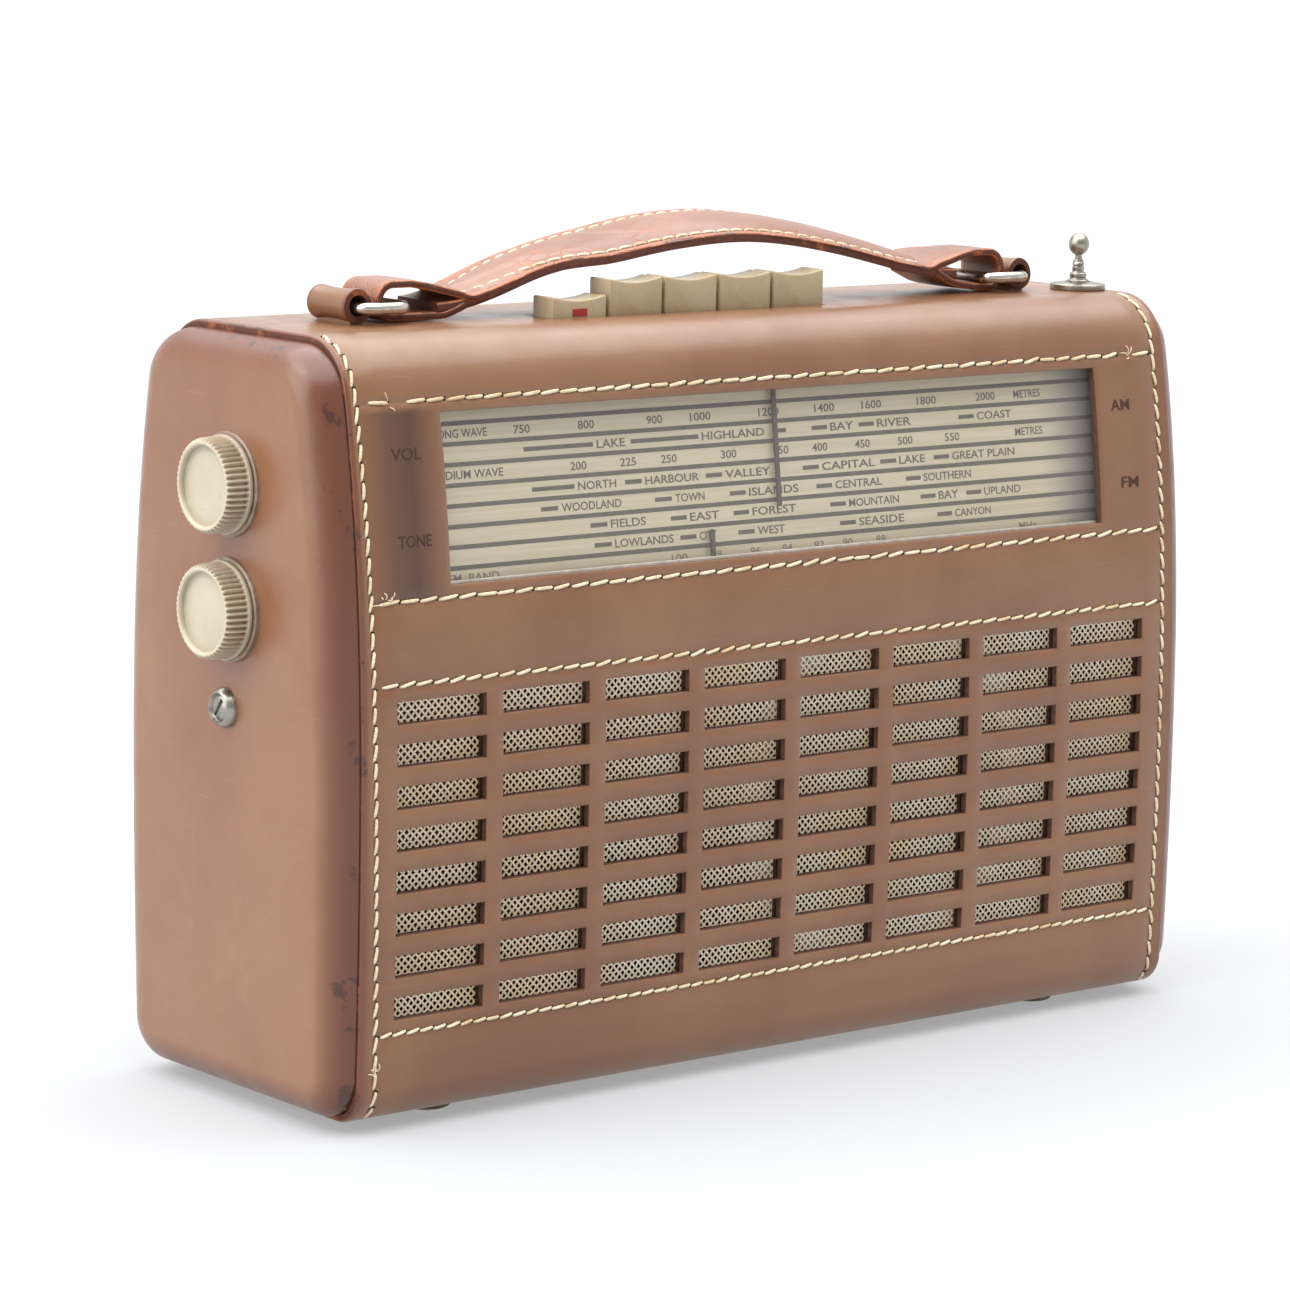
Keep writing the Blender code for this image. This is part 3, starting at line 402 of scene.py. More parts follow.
def leather(name, base, dark, light, edge, roughness=0.36, grain=1.0, cracks=0.0):
    """Smooth hide: soft clouding, fine pores, rubbed spots, scratches, and worn edges where 'wear' is set; on the
    end caps that darkening is partly painted shade, deepest where the cap meets the wrap.
    """
    s = Shade(name, srgb(base), roughness, Specular_IOR_Level=0.5, Coat_Weight=0.50, Coat_Roughness=0.26)
    clouds = s.noise(16.0, 4.0, 0.6, warp=0.4)
    colour = s.mix(s.ramp(clouds, 0.30, 0.66), srgb(dark), srgb(base))
    patches = s.noise(38.0, 5.0, 0.65)
    colour = s.mix(s.ramp(patches, 0.60, 0.82, 0.0, 0.28), colour, srgb(light))
    mottle = s.noise(420.0, 3.0, 0.6)
    colour = s.mix(s.ramp(mottle, 0.3, 0.75, 0.0, 0.16), colour, srgb(dark))
    pores = s.cells(1500.0)
    colour = s.mix(s.ramp(pores, 0.0, 0.35, 0.14 * grain, 0.0), colour, srgb(edge))
    scratch = s.noise(60.0, 2.0, 0.4, s.scaled(1.0, 1.0, 26.0, (0.0, 0.7, 0.3)))
    scratch = s.ramp(scratch, 0.70, 0.74)
    colour = s.mix(s.sum("MULTIPLY", scratch, 0.22), colour, srgb(light))
    wear = s.named("wear")
    colour = s.mix(s.named("shade"), colour, srgb(dark), "MULTIPLY")
    colour = s.mix(s.ramp(wear, 0.0, 1.0, 0.0, 0.92), colour, srgb(edge))
    torn = s.sum("ADD", s.sum("MULTIPLY", wear, 0.30), s.noise(120.0, 4.0, 0.65))
    colour = s.mix(s.ramp(torn, 0.83, 0.90, 0.0, 0.8), colour, srgb("3A1A10"))
    if cracks:
        lines = s.cells(260.0, "DISTANCE_TO_EDGE", s.scaled(0.45, 1.0, 1.0))
        lines = s.ramp(lines, 0.0, 0.06, 1.0, 0.0)
        broken = s.sum("MULTIPLY", lines, s.ramp(s.noise(30.0, 3.0, 0.6), 0.42, 0.60))
        colour = s.mix(s.sum("MULTIPLY", broken, cracks), colour, srgb(edge))
        s.bump(broken, 0.8, -0.0003)
    s.colour(colour)
    s.rough(s.ramp(s.noise(90.0, 3.0, 0.6), 0.2, 0.8, roughness - 0.09, roughness + 0.12))
    s.bump(s.noise(28.0, 3.0, 0.5), 0.35, 0.0007)
    s.bump(s.noise(900.0, 3.0, 0.6), 0.10 * grain, 0.0003)
    s.bump(pores, 0.10 * grain, 0.0002)
    return s.mat


def cut_edge(name, dark, worn):
    s = Shade(name, srgb(dark), 0.75)
    spots = s.noise(70.0, 4.0, 0.7)
    colour = s.mix(s.ramp(spots, 0.55, 0.70), srgb(dark), srgb(worn))
    layers = s.noise(700.0, 3.0, 0.7)
    colour = s.mix(s.ramp(layers, 0.3, 0.7, 0.0, 0.35), colour, srgb("1C0D08"))
    s.colour(colour)
    s.bump(layers, 0.5, 0.0004)
    return s.mat


def plastic(name, base, dark, roughness=0.3):
    """Aged ivory plastic: a slow drift in colour, darkening in the hollows and at the foot of parts that is partly
    soiling and partly painted shade, and fine scratches.
    """
    s = Shade(name, srgb(base), roughness, Subsurface_Weight=0.12, Subsurface_Scale=0.002)
    drift = s.noise(60.0, 3.0, 0.5)
    colour = s.mix(s.ramp(drift, 0.35, 0.75, 0.0, 0.45), srgb(base), srgb(dark))
    # Painted shade with soiling: the named attribute darkens hollows and the foot of parts.
    grime_and_shade = s.sum("MULTIPLY", s.named("grime_and_shade"), s.ramp(s.noise(240.0, 3.0, 0.6), 0.2, 0.6, 0.55, 1.0))
    colour = s.mix(grime_and_shade, colour, srgb("7E5F3A"))
    specks = s.ramp(s.noise(900.0, 2.0, 0.5), 0.70, 0.78)
    colour = s.mix(s.sum("MULTIPLY", specks, 0.35), colour, srgb("9C8056"))
    s.colour(colour)
    s.rough(s.ramp(s.noise(300.0, 3.0, 0.6), 0.2, 0.8, roughness - 0.07, roughness + 0.12))
    s.bump(s.noise(500.0, 3.0, 0.6), 0.05, 0.0003)
    return s.mat


def metal(name, base, dark, roughness, tarnish=0.5, grain=None):
    s = Shade(name, srgb(base), roughness, 1.0)
    spots = s.noise(260.0, 4.0, 0.7)
    colour = s.mix(s.ramp(spots, 0.52, 0.74, 0.0, tarnish), srgb(base), srgb(dark))
    s.colour(colour)
    s.rough(s.ramp(spots, 0.3, 0.8, roughness - 0.05, roughness + 0.22))
    if grain:
        s.bump(s.noise(90.0, 2.0, 0.5, s.scaled(*grain)), 0.12, 0.0001)
    else:
        s.bump(s.noise(700.0, 2.0, 0.5), 0.04, 0.0001)
    return s.mat


def plain(name, base, dark, roughness, scale=300.0, strength=0.15, metallic=0.0):
    """Moulded, painted or pressed stuff for the pieces inside."""
    s = Shade(name, srgb(base), roughness, metallic)
    grain = s.noise(scale, 4.0, 0.6)
    s.colour(s.mix(s.ramp(grain, 0.3, 0.7), srgb(dark), srgb(base)))
    s.rough(s.ramp(grain, 0.2, 0.8, max(0.05, roughness - 0.08), min(1.0, roughness + 0.08)))
    s.bump(grain, strength, 0.0002)
    return s.mat


COVER = leather("tan_hide", "845A3A", "774C2E", "996F52", "6A3418")
# The end caps' edge colour is darkened past worn hide: partly wear, partly painted shade where the cap meets the
# wrap.
CAP = leather("end_hide", "8A5F42", "7F5136", "A07859", "5E2A10", 0.34)
STRAP = leather("strap_hide", "8E5F48", "70442F", "B98F78", "A3592A", 0.42, 1.0, 1.0)
EDGE = cut_edge("cut_edge", "5A2C1A", "A85C2C")
RAW = cut_edge("slot_edge", "6A4636", "8A6250")
IVORY = plastic("ivory", "BFB8A3", "AFA285", 0.32)
# A darker copy of the ivory for the keys: partly their own yellower tone, partly painted shade of their fronts.
KEY_IVORY_WITH_SHADE = plastic("key_ivory", "AF9E80", "98845F", 0.26)
NICKEL = metal("nickel", "C9C5BC", "7A7468", 0.16, 0.45)
WORN_NICKEL = metal("worn_nickel", "A09C92", "4C473E", 0.30, 0.8)
STEEL = metal("dull_steel", "A9A7A0", "6E6A60", 0.34, 0.6)
# Painted shade: near-black patches under the stitch ends, for the shadow in the stitch holes.
STITCH_HOLE_SHADE = plain("stitch_hole_shade", "1A0D08", "0D0604", 0.9, 900.0, 0.2)


def thread():
    s = Shade("waxed_thread", srgb("EADBB8"), 0.62)
    soil = s.noise(110.0, 4.0, 0.7)
    colour = s.mix(s.ramp(soil, 0.40, 0.72, 0.0, 0.75), srgb("EFE3C6"), srgb("C99F66"))
    fine = s.noise(1500.0, 2.0, 0.6)
    colour = s.mix(s.ramp(fine, 0.35, 0.75, 0.0, 0.30), colour, srgb("8E6A42"))
    s.colour(colour)
    twist = s.bands(420.0, s.scaled(1.0, 1.0, 1.6, (0.0, 0.6, 0.0)), 1.0)
    s.bump(twist, 0.35, 0.0002)
    return s.mat


def weave():
    # The yarn's emission is painted light: a faint warm glow that lifts the cloth where the slots shade it.
    s = Shade("grille_yarn", srgb("EADFC2"), 0.5, Sheen_Weight=0.6, Emission_Strength=0.15)
    s.shader.inputs["Emission Color"].default_value = (1.0, 0.70, 0.42, 1.0)
    drift = s.noise(34.0, 3.0, 0.6)
    colour = s.mix(s.ramp(drift, 0.35, 0.65), srgb("FBEBC4"), srgb("FFFDF4"))
    fuzz = s.noise(700.0, 3.0, 0.7)
    colour = s.mix(s.ramp(fuzz, 0.5, 0.8, 0.0, 0.35), colour, srgb("B8A67C"))
    # Painted highlights: brighter spots for glints on the yarn.
    shine = s.ramp(s.noise(160.0, 2.0, 0.5), 0.58, 0.72, 0.0, 0.8)
    colour = s.mix(shine, colour, srgb("FFFAEE"))
    s.colour(colour)
    s.bump(fuzz, 0.4, 0.0002)
    return s.mat


def dial_finish():
    """Satin plate with a fine grain along its length, lighter patches of painted light from the hazy window, and
    painted shade towards the right end.
    """
    s = Shade("dial_satin_shaded", srgb("C6B89C"), 0.42, 0.15)
    grain = s.noise(40.0, 3.0, 0.6, s.scaled(0.6, 30.0, 30.0))
    colour = s.mix(s.ramp(grain, 0.3, 0.7), srgb("C4B698"), srgb("D2C6AA"))
    # Painted reflection: lighter patches for the light that the scratched, hazy window scatters over the plate.
    painted_haze = s.noise(22.0, 3.0, 0.6)
    colour = s.mix(s.ramp(painted_haze, 0.45, 0.75, 0.0, 0.3), colour, srgb("CFC6B8"))
    # Painted shade: the right wall's shadow and its reflection in the glass, bluish grey towards the plate's right
    # end.
    colour = s.mix(s.ramp(s.axis(0), 0.092, 0.110, 0.0, 0.6), colour, srgb("6A6C7A"))
    s.colour(colour)
    s.bump(grain, 0.10, 0.0001)
    return s.mat


def clear_window():
    s = Shade("clear_window", srgb("C8C4BC"), 0.08, Alpha=0.08)
    hazed = s.noise(26.0, 4.0, 0.7)
    s.rough(s.ramp(hazed, 0.3, 0.8, 0.06, 0.30))
    lines = s.noise(30.0, 2.0, 0.4, s.scaled(1.0, 1.0, 30.0, (0.0, -0.35, 0.0)))
    s.bump(s.ramp(lines, 0.66, 0.72), 0.25, 0.0001)
    return s.mat


THREAD = thread()
YARN = weave()
DIAL = dial_finish()
WINDOW = clear_window()
INK = plain("dial_ink", "5A4E4C", "4E4340", 0.6, 500.0, 0.05)
INK_PALE = plain("dial_ink_pale", "857A6E", "7A6F64", 0.6, 500.0, 0.05)
STAMP = plain("stamped_mark", "4A2A20", "3A1F17", 0.8, 600.0, 0.2)
RED = plain("red_mark", "A02A2A", "8A2020", 0.5, 400.0, 0.05)
NEEDLE = plain("needle_paint", "4A3C3C", "3C3030", 0.5, 500.0, 0.1)
RUBBER = plain("foot_rubber", "6C6B55", "55533F", 0.8, 300.0, 0.3)
WOOD = plain("plywood", "7A563A", "5C3D28", 0.8, 60.0, 0.2)
BOARD = plain("brown_board", "5C4034", "3F2A20", 0.9, 400.0, 0.3)
COLLAR = plain("collar_enamel", "9A8676", "7E6A5A", 0.4, 300.0, 0.1, 0.3)
PAPER = plain("cone_paper", "26241F", "171613", 0.95, 500.0, 0.4)
PHENOLIC = plain("laminate", "8A5A2E", "6E4320", 0.6, 80.0, 0.1)
FERRITE = plain("ferrite", "3C3C3E", "2B2B2D", 0.6, 500.0, 0.2)
COPPER = plain("coil_wire", "A5602E", "7E4520", 0.4, 900.0, 0.3, 0.8)
BLACK = plain("black_moulding", "262524", "181716", 0.5, 400.0, 0.1)
JACKET = plain("cell_jacket", "3A5068", "2A3A4E", 0.45, 90.0, 0.05)
MAGNET = plain("magnet", "6A6A6A", "4A4A4A", 0.5, 300.0, 0.2, 0.7)

# -------------------------------------------------------- the case's outline

wrap_low, wrap_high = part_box("leather_wrap")
cap_low, cap_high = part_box("right_end_cap")
DRAWN_IN = 1.4 * MM
WRAP_X = wrap_high.x - DRAWN_IN
CAP_X = cap_high.x
CASE_BOTTOM, CASE_TOP = wrap_low.z, wrap_high.z
HALF_DEPTH = wrap_high.y
BULGE_Z = 70.0 * MM  # where the case is deepest
TOP_TAPER, TOP_TAPER_REACH = 8.2 * MM, 109.6 * MM
LOW_TAPER, LOW_TAPER_REACH = 0.9 * MM, 57.0 * MM
TOP_RADIUS = 16.0 * MM
BOTTOM_RADIUS = 9.0 * MM
HIDE = 2.0 * MM
ARC_Z = CASE_TOP - TOP_RADIUS
JOIN = math.radians(10)
JOIN_Z = ARC_Z + TOP_RADIUS * math.sin(JOIN)
LOW_Z = CASE_BOTTOM + BOTTOM_RADIUS


def half_depth(z):
    """Half the depth of the case at a height, as the CAD has it."""
    if z > BULGE_Z:
        return HALF_DEPTH - TOP_TAPER * ((z - BULGE_Z) / TOP_TAPER_REACH) ** 2.5
    return HALF_DEPTH - LOW_TAPER * ((BULGE_Z - z) / LOW_TAPER_REACH) ** 2


ARC_Y = half_depth(JOIN_Z) - TOP_RADIUS * math.cos(JOIN)
LOW_Y = half_depth(LOW_Z) - BOTTOM_RADIUS


def stations(front=(), top=(), back=(), spacing=6.0 * MM):
    """The closed outline as (y, z, region, value) rows; the extra values always get a row of their own."""

    def fill(low, high, extra, step):
        count = max(2, int(math.ceil((high - low) / step)))
        marks = set(round(v, 6) for v in extra if low + 1e-5 < v < high - 1e-5)
        even = [low + (high - low) * k / count for k in range(count + 1)]
        for v in even:
            if all(abs(v - m) > step * 0.3 for m in marks):
                marks.add(round(v, 7))
        return sorted(marks | {low, high})

    upper, lower = [], []
    for k in range(1, 12):
        a = JOIN + (math.pi / 2 - JOIN) * k / 12
        upper.append((ARC_Y + TOP_RADIUS * math.cos(a), ARC_Z + TOP_RADIUS * math.sin(a), "arc", 0.0))
    for k in range(1, 9):
        a = math.pi / 2 * k / 9
        lower.append((LOW_Y + BOTTOM_RADIUS * math.cos(a), LOW_Z - BOTTOM_RADIUS * math.sin(a), "arc", 0.0))
    rows = [(-half_depth(z), z, "front", z) for z in fill(LOW_Z, JOIN_Z, front, spacing)]
    rows += [(-y, *rest) for y, *rest in upper]
    rows += [(y, CASE_TOP, "top", y) for y in fill(-ARC_Y, ARC_Y, top, spacing)]
    rows += upper[::-1]
    rows += [(half_depth(z), z, "back", z) for z in reversed(fill(LOW_Z, JOIN_Z, back, spacing))]
    rows += lower
    rows += [(y, CASE_BOTTOM, "bottom", y) for y in reversed(fill(-LOW_Y, LOW_Y, (), spacing * 2))]
    rows += [(-y, *rest) for y, *rest in lower[::-1]]
    return rows


def inward(points):
    """Unit normals into the case for a closed outline of (y, z) points."""
    points = np.array(points, float)
    tangent = np.roll(points, -1, 0) - np.roll(points, 1, 0)
    tangent /= np.linalg.norm(tangent, axis=1)[:, None]
    return np.stack([tangent[:, 1], -tangent[:, 0]], 1)


def front_point(x, z, lift=0.0):
    """A point on the front of the leather, and the normal there."""
    step = 0.5 * MM
    slope = (half_depth(z + step) - half_depth(z - step)) / (2 * step)
    normal = Vector((0.0, -1.0, -slope)).normalized()
    return Vector((x, -half_depth(z), z)) + normal * lift, normal


# ------------------------------------------------------------ the leather skin

board_low, board_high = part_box("grille_board")
SLOT_LEFT = board_low.x + 1.8 * MM
SLOT_PITCH_X = 32.2 * MM
SLOT_WIDTH = 27.1 * MM
SLOT_TOP = board_high.z - 1.3 * MM
SLOT_PITCH_Z = 10.48 * MM
SLOT_HEIGHT = 5.6 * MM
WINDOW_X = 110.2 * MM
WINDOW_LOW, WINDOW_HIGH = 134.7 * MM, 176.6 * MM
bank_low, bank_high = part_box("key_switch_bank")
EASE = 0.6 * MM
KEYS = (bank_low.x - EASE, bank_high.x + EASE, bank_low.y - EASE, bank_high.y + EASE)
socket_low, socket_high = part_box("aerial_socket")
AERIAL = Vector(((socket_low.x + socket_high.x) / 2, (socket_low.y + socket_high.y) / 2, CASE_TOP))
panel_low, panel_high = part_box("back_panel")
GAP = 0.5 * MM
BACK = (panel_low.x - GAP, panel_high.x + GAP, panel_low.z - GAP, panel_high.z + GAP)
TAB_X = {
    side: sum(v.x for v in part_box(name)) / 2
    for side, name in ((-1, "left_handle_tab"), (1, "right_handle_tab"))
}
SEAM_Z = (179.6 * MM, 131.7 * MM, 111.5 * MM, 25.0 * MM)
SEAM_X = 133.0 * MM


def seam_lean(x, z):
    """The left side seam runs out of true: it leans outwards towards the top."""
    return -0.0155 * (z - 45 * MM) if abs(x + SEAM_X) < 1.5 * MM else 0.0


BEVEL = 0.28 * MM

holes = []
for column in range(8):
    for row in range(8):
        x_0 = SLOT_LEFT + column * SLOT_PITCH_X
        z_1 = SLOT_TOP - row * SLOT_PITCH_Z
        holes.append(("front", x_0, x_0 + SLOT_WIDTH, z_1 - SLOT_HEIGHT, z_1))
holes.append(("front", -WINDOW_X, WINDOW_X, WINDOW_LOW, WINDOW_HIGH))
holes.append(("top", *KEYS))
for x, y, half_x, half_y in (
    (AERIAL.x, AERIAL.y, 3.4 * MM, 3.4 * MM),
    (TAB_X[-1], 0.0, 2.4 * MM, 7.6 * MM),
    (TAB_X[1], 0.0, 2.4 * MM, 7.6 * MM),
):
    holes.append(("top", x - half_x, x + half_x, y - half_y, y + half_y))
holes.append(("back", *BACK))


def marks(region):
    out = set()
    for kind, _, _, low, high in holes:
        if kind == region:
            out |= {low, high, low - BEVEL, high + BEVEL}
    return out


GROOVE = ((0.0, 0.42), (0.45, 0.30), (1.1, 0.0))


def groove_marks(centre):
    return {centre + sign * reach * MM for reach, _ in GROOVE for sign in (-1, 1)}


def groove_depth(away):
    away = abs(away) / MM
    return float(np.interp(away, [g[0] for g in GROOVE], [g[1] for g in GROOVE])) * MM


def build_skin():
    """The leather cover: one skin with its slots, window and openings, sunk seams and cut edges."""
    front = marks("front")
    for z in SEAM_Z:
        front |= groove_marks(z)
    rows = stations(front, marks("top"), marks("back"))
    xs = set()
    for _, x_0, x_1, _, _ in holes:
        xs |= {x_0, x_1, x_0 - BEVEL, x_1 + BEVEL}
    for side in (-1, 1):
        xs |= groove_marks(side * SEAM_X)
        xs |= {side * WRAP_X, side * (WRAP_X - 0.25 * MM), side * (WRAP_X - 0.7 * MM)}
    even = np.linspace(-WRAP_X, WRAP_X, 48)
    xs |= {v for v in even if all(abs(v - m) > 1.6 * MM for m in xs)}
    xs = sorted(set(round(v, 7) for v in xs))
    loop = [(y, z) for y, z, _, _ in rows]
    normal = inward(loop)
    nx, nj = len(xs), len(rows)

    solid = np.ones((nx - 1, nj), bool)
    for kind, x_0, x_1, low, high in holes:
        for j in range(nj):
            k = (j + 1) % nj
            if rows[j][2] != kind or rows[k][2] != kind:
                continue
            middle = (rows[j][3] + rows[k][3]) / 2
            if not low < middle < high:
                continue
            for i in range(nx - 1):
                if x_0 < (xs[i] + xs[i + 1]) / 2 < x_1:
                    solid[i, j] = False

    depth = np.zeros((nx, nj))
    wear = np.zeros((nx, nj))
    for i, x in enumerate(xs):
        for j, (y, z, region, _) in enumerate(rows):
            if region == "front":
                if abs(x) < SEAM_X:
                    depth[i, j] = max(groove_depth(z - s) for s in SEAM_Z)
            side_reach = z > CASE_BOTTOM + 1 * MM and (y < -20 * MM or y > 20 * MM)
            if side_reach:
                depth[i, j] = max(depth[i, j], groove_depth(abs(x) - SEAM_X))
            end = WRAP_X - abs(x)
            if end < 0.05 * MM:
                depth[i, j] = 0.55 * MM
            elif end < 0.3 * MM:
                depth[i, j] = 0.22 * MM
            wear[i, j] = 0.95 * max(0.0, 1.0 - end / (3.6 * MM)) ** 0.9
    around = [(0, 0), (-1, 0), (0, -1), (-1, -1)]
    for i in range(nx):
        for j in range(nj):
            cells = [solid[i + a, (j + b) % nj] for a, b in around if 0 <= i + a < nx - 1]
            if any(cells) and not all(cells):
                depth[i, j] = max(depth[i, j], 0.22 * MM)
                wear[i, j] = max(wear[i, j], 0.25)

    verts = []
    for layer in (None, HIDE):
        for i, x in enumerate(xs):
            for j in range(nj):
                d = depth[i, j] if layer is None else layer
                lean = seam_lean(x, loop[j][1]) if loop[j][0] < 0 else 0.0
                y, z = loop[j][0] + normal[j][0] * d, loop[j][1] + normal[j][1] * d
                verts.append((x + lean, y, z))
    total = nx * nj
    faces, kinds = [], []
    for i in range(nx - 1):
        for j in range(nj):
            if not solid[i, j]:
                continue
            k = (j + 1) % nj
            a, b, c, d = i * nj + j, i * nj + k, (i + 1) * nj + k, (i + 1) * nj + j
            faces.append((a, d, c, b))
            kinds.append(0)
            faces.append((total + a, total + b, total + c, total + d))
            kinds.append(1)
            sides = (
                (i == 0 or not solid[i - 1, j], a, b, 2 if i == 0 else 1),
                (i == nx - 2 or not solid[i + 1, j], c, d, 2 if i == nx - 2 else 1),
                (not solid[i, j - 1], d, a, 1),
                (not solid[i, k], b, c, 1),
            )
            for open_side, p, q, kind in sides:
                if open_side:
                    faces.append((p, q, total + q, total + p))
                    kinds.append(kind)
    used = sorted({v for f in faces for v in f})
    index = {v: n for n, v in enumerate(used)}
    flat_wear = np.concatenate([wear.ravel(), np.ones(total)])
    verts = [verts[v] for v in used]
    faces = [tuple(index[v] for v in f) for f in faces]
    obj = link("leather_cover", verts, faces, [COVER, RAW, EDGE], kinds, angle=50)
    attribute(obj, "wear", flat_wear[used])
    # The 'shade' attribute darkens a patch of the front just left of the window.
    shade = []
    for x, y, z in verts:
        beside_window = y < -30 * MM and 132 * MM < z < 178 * MM
        shade.append(0.85 * math.exp(-(((x + 122 * MM) / (9 * MM)) ** 2)) if beside_window else 0.0)
    attribute(obj, "shade", shade)
    return place(obj, "case", "tan_leather", "leather_wrap")


build_skin()


def build_panel():
    """The leather-covered back panel, with the case's own curve and rounded rims."""

    def spread(low, high, count):
        return sorted({low, high} | set(np.linspace(low + 1 * MM, high - 1 * MM, count)))

    xs = spread(panel_low.x, panel_high.x, 12)
    zs = spread(panel_low.z, panel_high.z, 24)
    verts = []
    for out, drop in ((True, 0.2 * MM), (False, 6.0 * MM)):
        for x in xs:
            for z in zs:
                rim = x in (xs[0], xs[-1]) or z in (zs[0], zs[-1])
                verts.append((x, half_depth(z) - drop - (0.6 * MM if rim and out else 0.0), z))
    n, m = len(xs), len(zs)
    faces = grid_faces(n, m) + grid_faces(n, m, first=n * m)
    ring = [i * m for i in range(n)] + [(n - 1) * m + j for j in range(1, m)]
    ring += [i * m + m - 1 for i in range(n - 2, -1, -1)] + [j for j in range(m - 2, 0, -1)]
    for k, a in enumerate(ring):
        b = ring[(k + 1) % len(ring)]
        faces.append((a, b, n * m + b, n * m + a))
    obj = link("back_panel_leather", verts, faces, [COVER], angle=60)
    attribute(obj, "wear", np.zeros(len(verts)))
    return place(obj, "case", "tan_leather", "back_panel")


build_panel()

# --------------------------------------------------------------- end caps

CAP_STEP = 1.0 * MM
CAP_BOTTOM_RADIUS = 12.5 * MM
CAP_IN = WRAP_X + 0.2 * MM
CAP_LEVEL = 140.0 * MM  # the height at which a leaning end face stands where the CAD has it
CAP_DROP = 0.9 * MM  # the ends stand a little lower than the leather's edge
LEAST_STEP = 1.3 * MM


def cap_outline():
    """The end caps follow the case, with fuller bottom corners."""
    low = CASE_BOTTOM + CAP_BOTTOM_RADIUS
    loop = []
    for y, z, _, _ in stations(spacing=5.0 * MM):
        if z > low + 0.5 * MM:
            drop = CAP_DROP * max(0.0, (z - ARC_Z) / TOP_RADIUS)
            loop.append((y, z - drop))
    side = half_depth(low) - CAP_BOTTOM_RADIUS
    back = [k for k, (y, z) in enumerate(loop) if y > 0][-1]
    corner = []
    for k in range(13):
        a = math.pi / 2 * k / 12
        corner.append((side + CAP_BOTTOM_RADIUS * math.cos(a), low - CAP_BOTTOM_RADIUS * math.sin(a)))
    opposite = [(-y, z) for y, z in corner[::-1]]
    corner += [(side * t, CASE_BOTTOM) for t in (0.6, 0.2, -0.2, -0.6)]
    kept = []
    for point in loop[: back + 1] + corner + opposite + loop[back + 1 :]:
        if not kept or math.dist(point, kept[-1]) > LEAST_STEP:
            kept.append(point)
    if math.dist(kept[0], kept[-1]) < LEAST_STEP:
        kept.pop()
    return kept


def build_cap(name, node, side, outer, rounding, tilt=0.0):
    loop = cap_outline()
    if area_sign(loop) < 0:
        loop = loop[::-1]
    base = offset_loop(loop, CAP_STEP)
    rings = [(base, CAP_IN, 1.0), (base, outer - rounding, 0.9)]
    for k in range(1, 11):
        a = math.pi / 2 * k / 10
        ring = offset_loop(loop, CAP_STEP + rounding * (1 - math.cos(a)))
        # Darker on the cap's sides and down its rounding: worn hide, with painted shade where the cap tucks into
        # the wrap.
        worn = 0.95 * max(0.0, math.cos(a)) ** 0.8
        rings.append((ring, outer - rounding * (1 - math.sin(a)), worn))
    verts, wear = [], []
    for ring, x, worn in rings:
        share = (x - CAP_IN) / (outer - CAP_IN)
        verts += [(side * (x + share * tilt * (z - CAP_LEVEL)), y, z) for y, z in ring]
        wear += [worn] * len(ring)
    count = len(loop)
    faces = grid_faces(len(rings), count, False, True)
    start = (len(rings) - 1) * count
    faces.append(tuple(start + k for k in range(count)))
    first = len(verts)
    for x, wall in ((CAP_IN, 3 * MM), (outer - 3 * MM, 6.6 * MM)):
        verts += [(side * x, y, z) for y, z in offset_loop(loop, CAP_STEP + wall)]
    wear += [0.0] * (2 * count)
    for k in range(count):
        n = (k + 1) % count
        faces.append((k, n, first + n, first + k))
        faces.append((first + k, first + n, first + count + n, first + count + k))
    faces.append(tuple(first + count + k for k in range(count)))
    obj = link(name, verts, faces, [CAP], angle=60)
    attribute(obj, "wear", wear)
    return place(obj, "case", "cap_leather", node)


build_cap("left_end_leather", "left_end_cap", -1, CAP_X + 0.1 * MM, 8.6 * MM, 0.0135)
build_cap("right_end_leather", "right_end_cap", 1, CAP_X - 1.7 * MM, 9.2 * MM)

# --------------------------------------------------------------- stitching


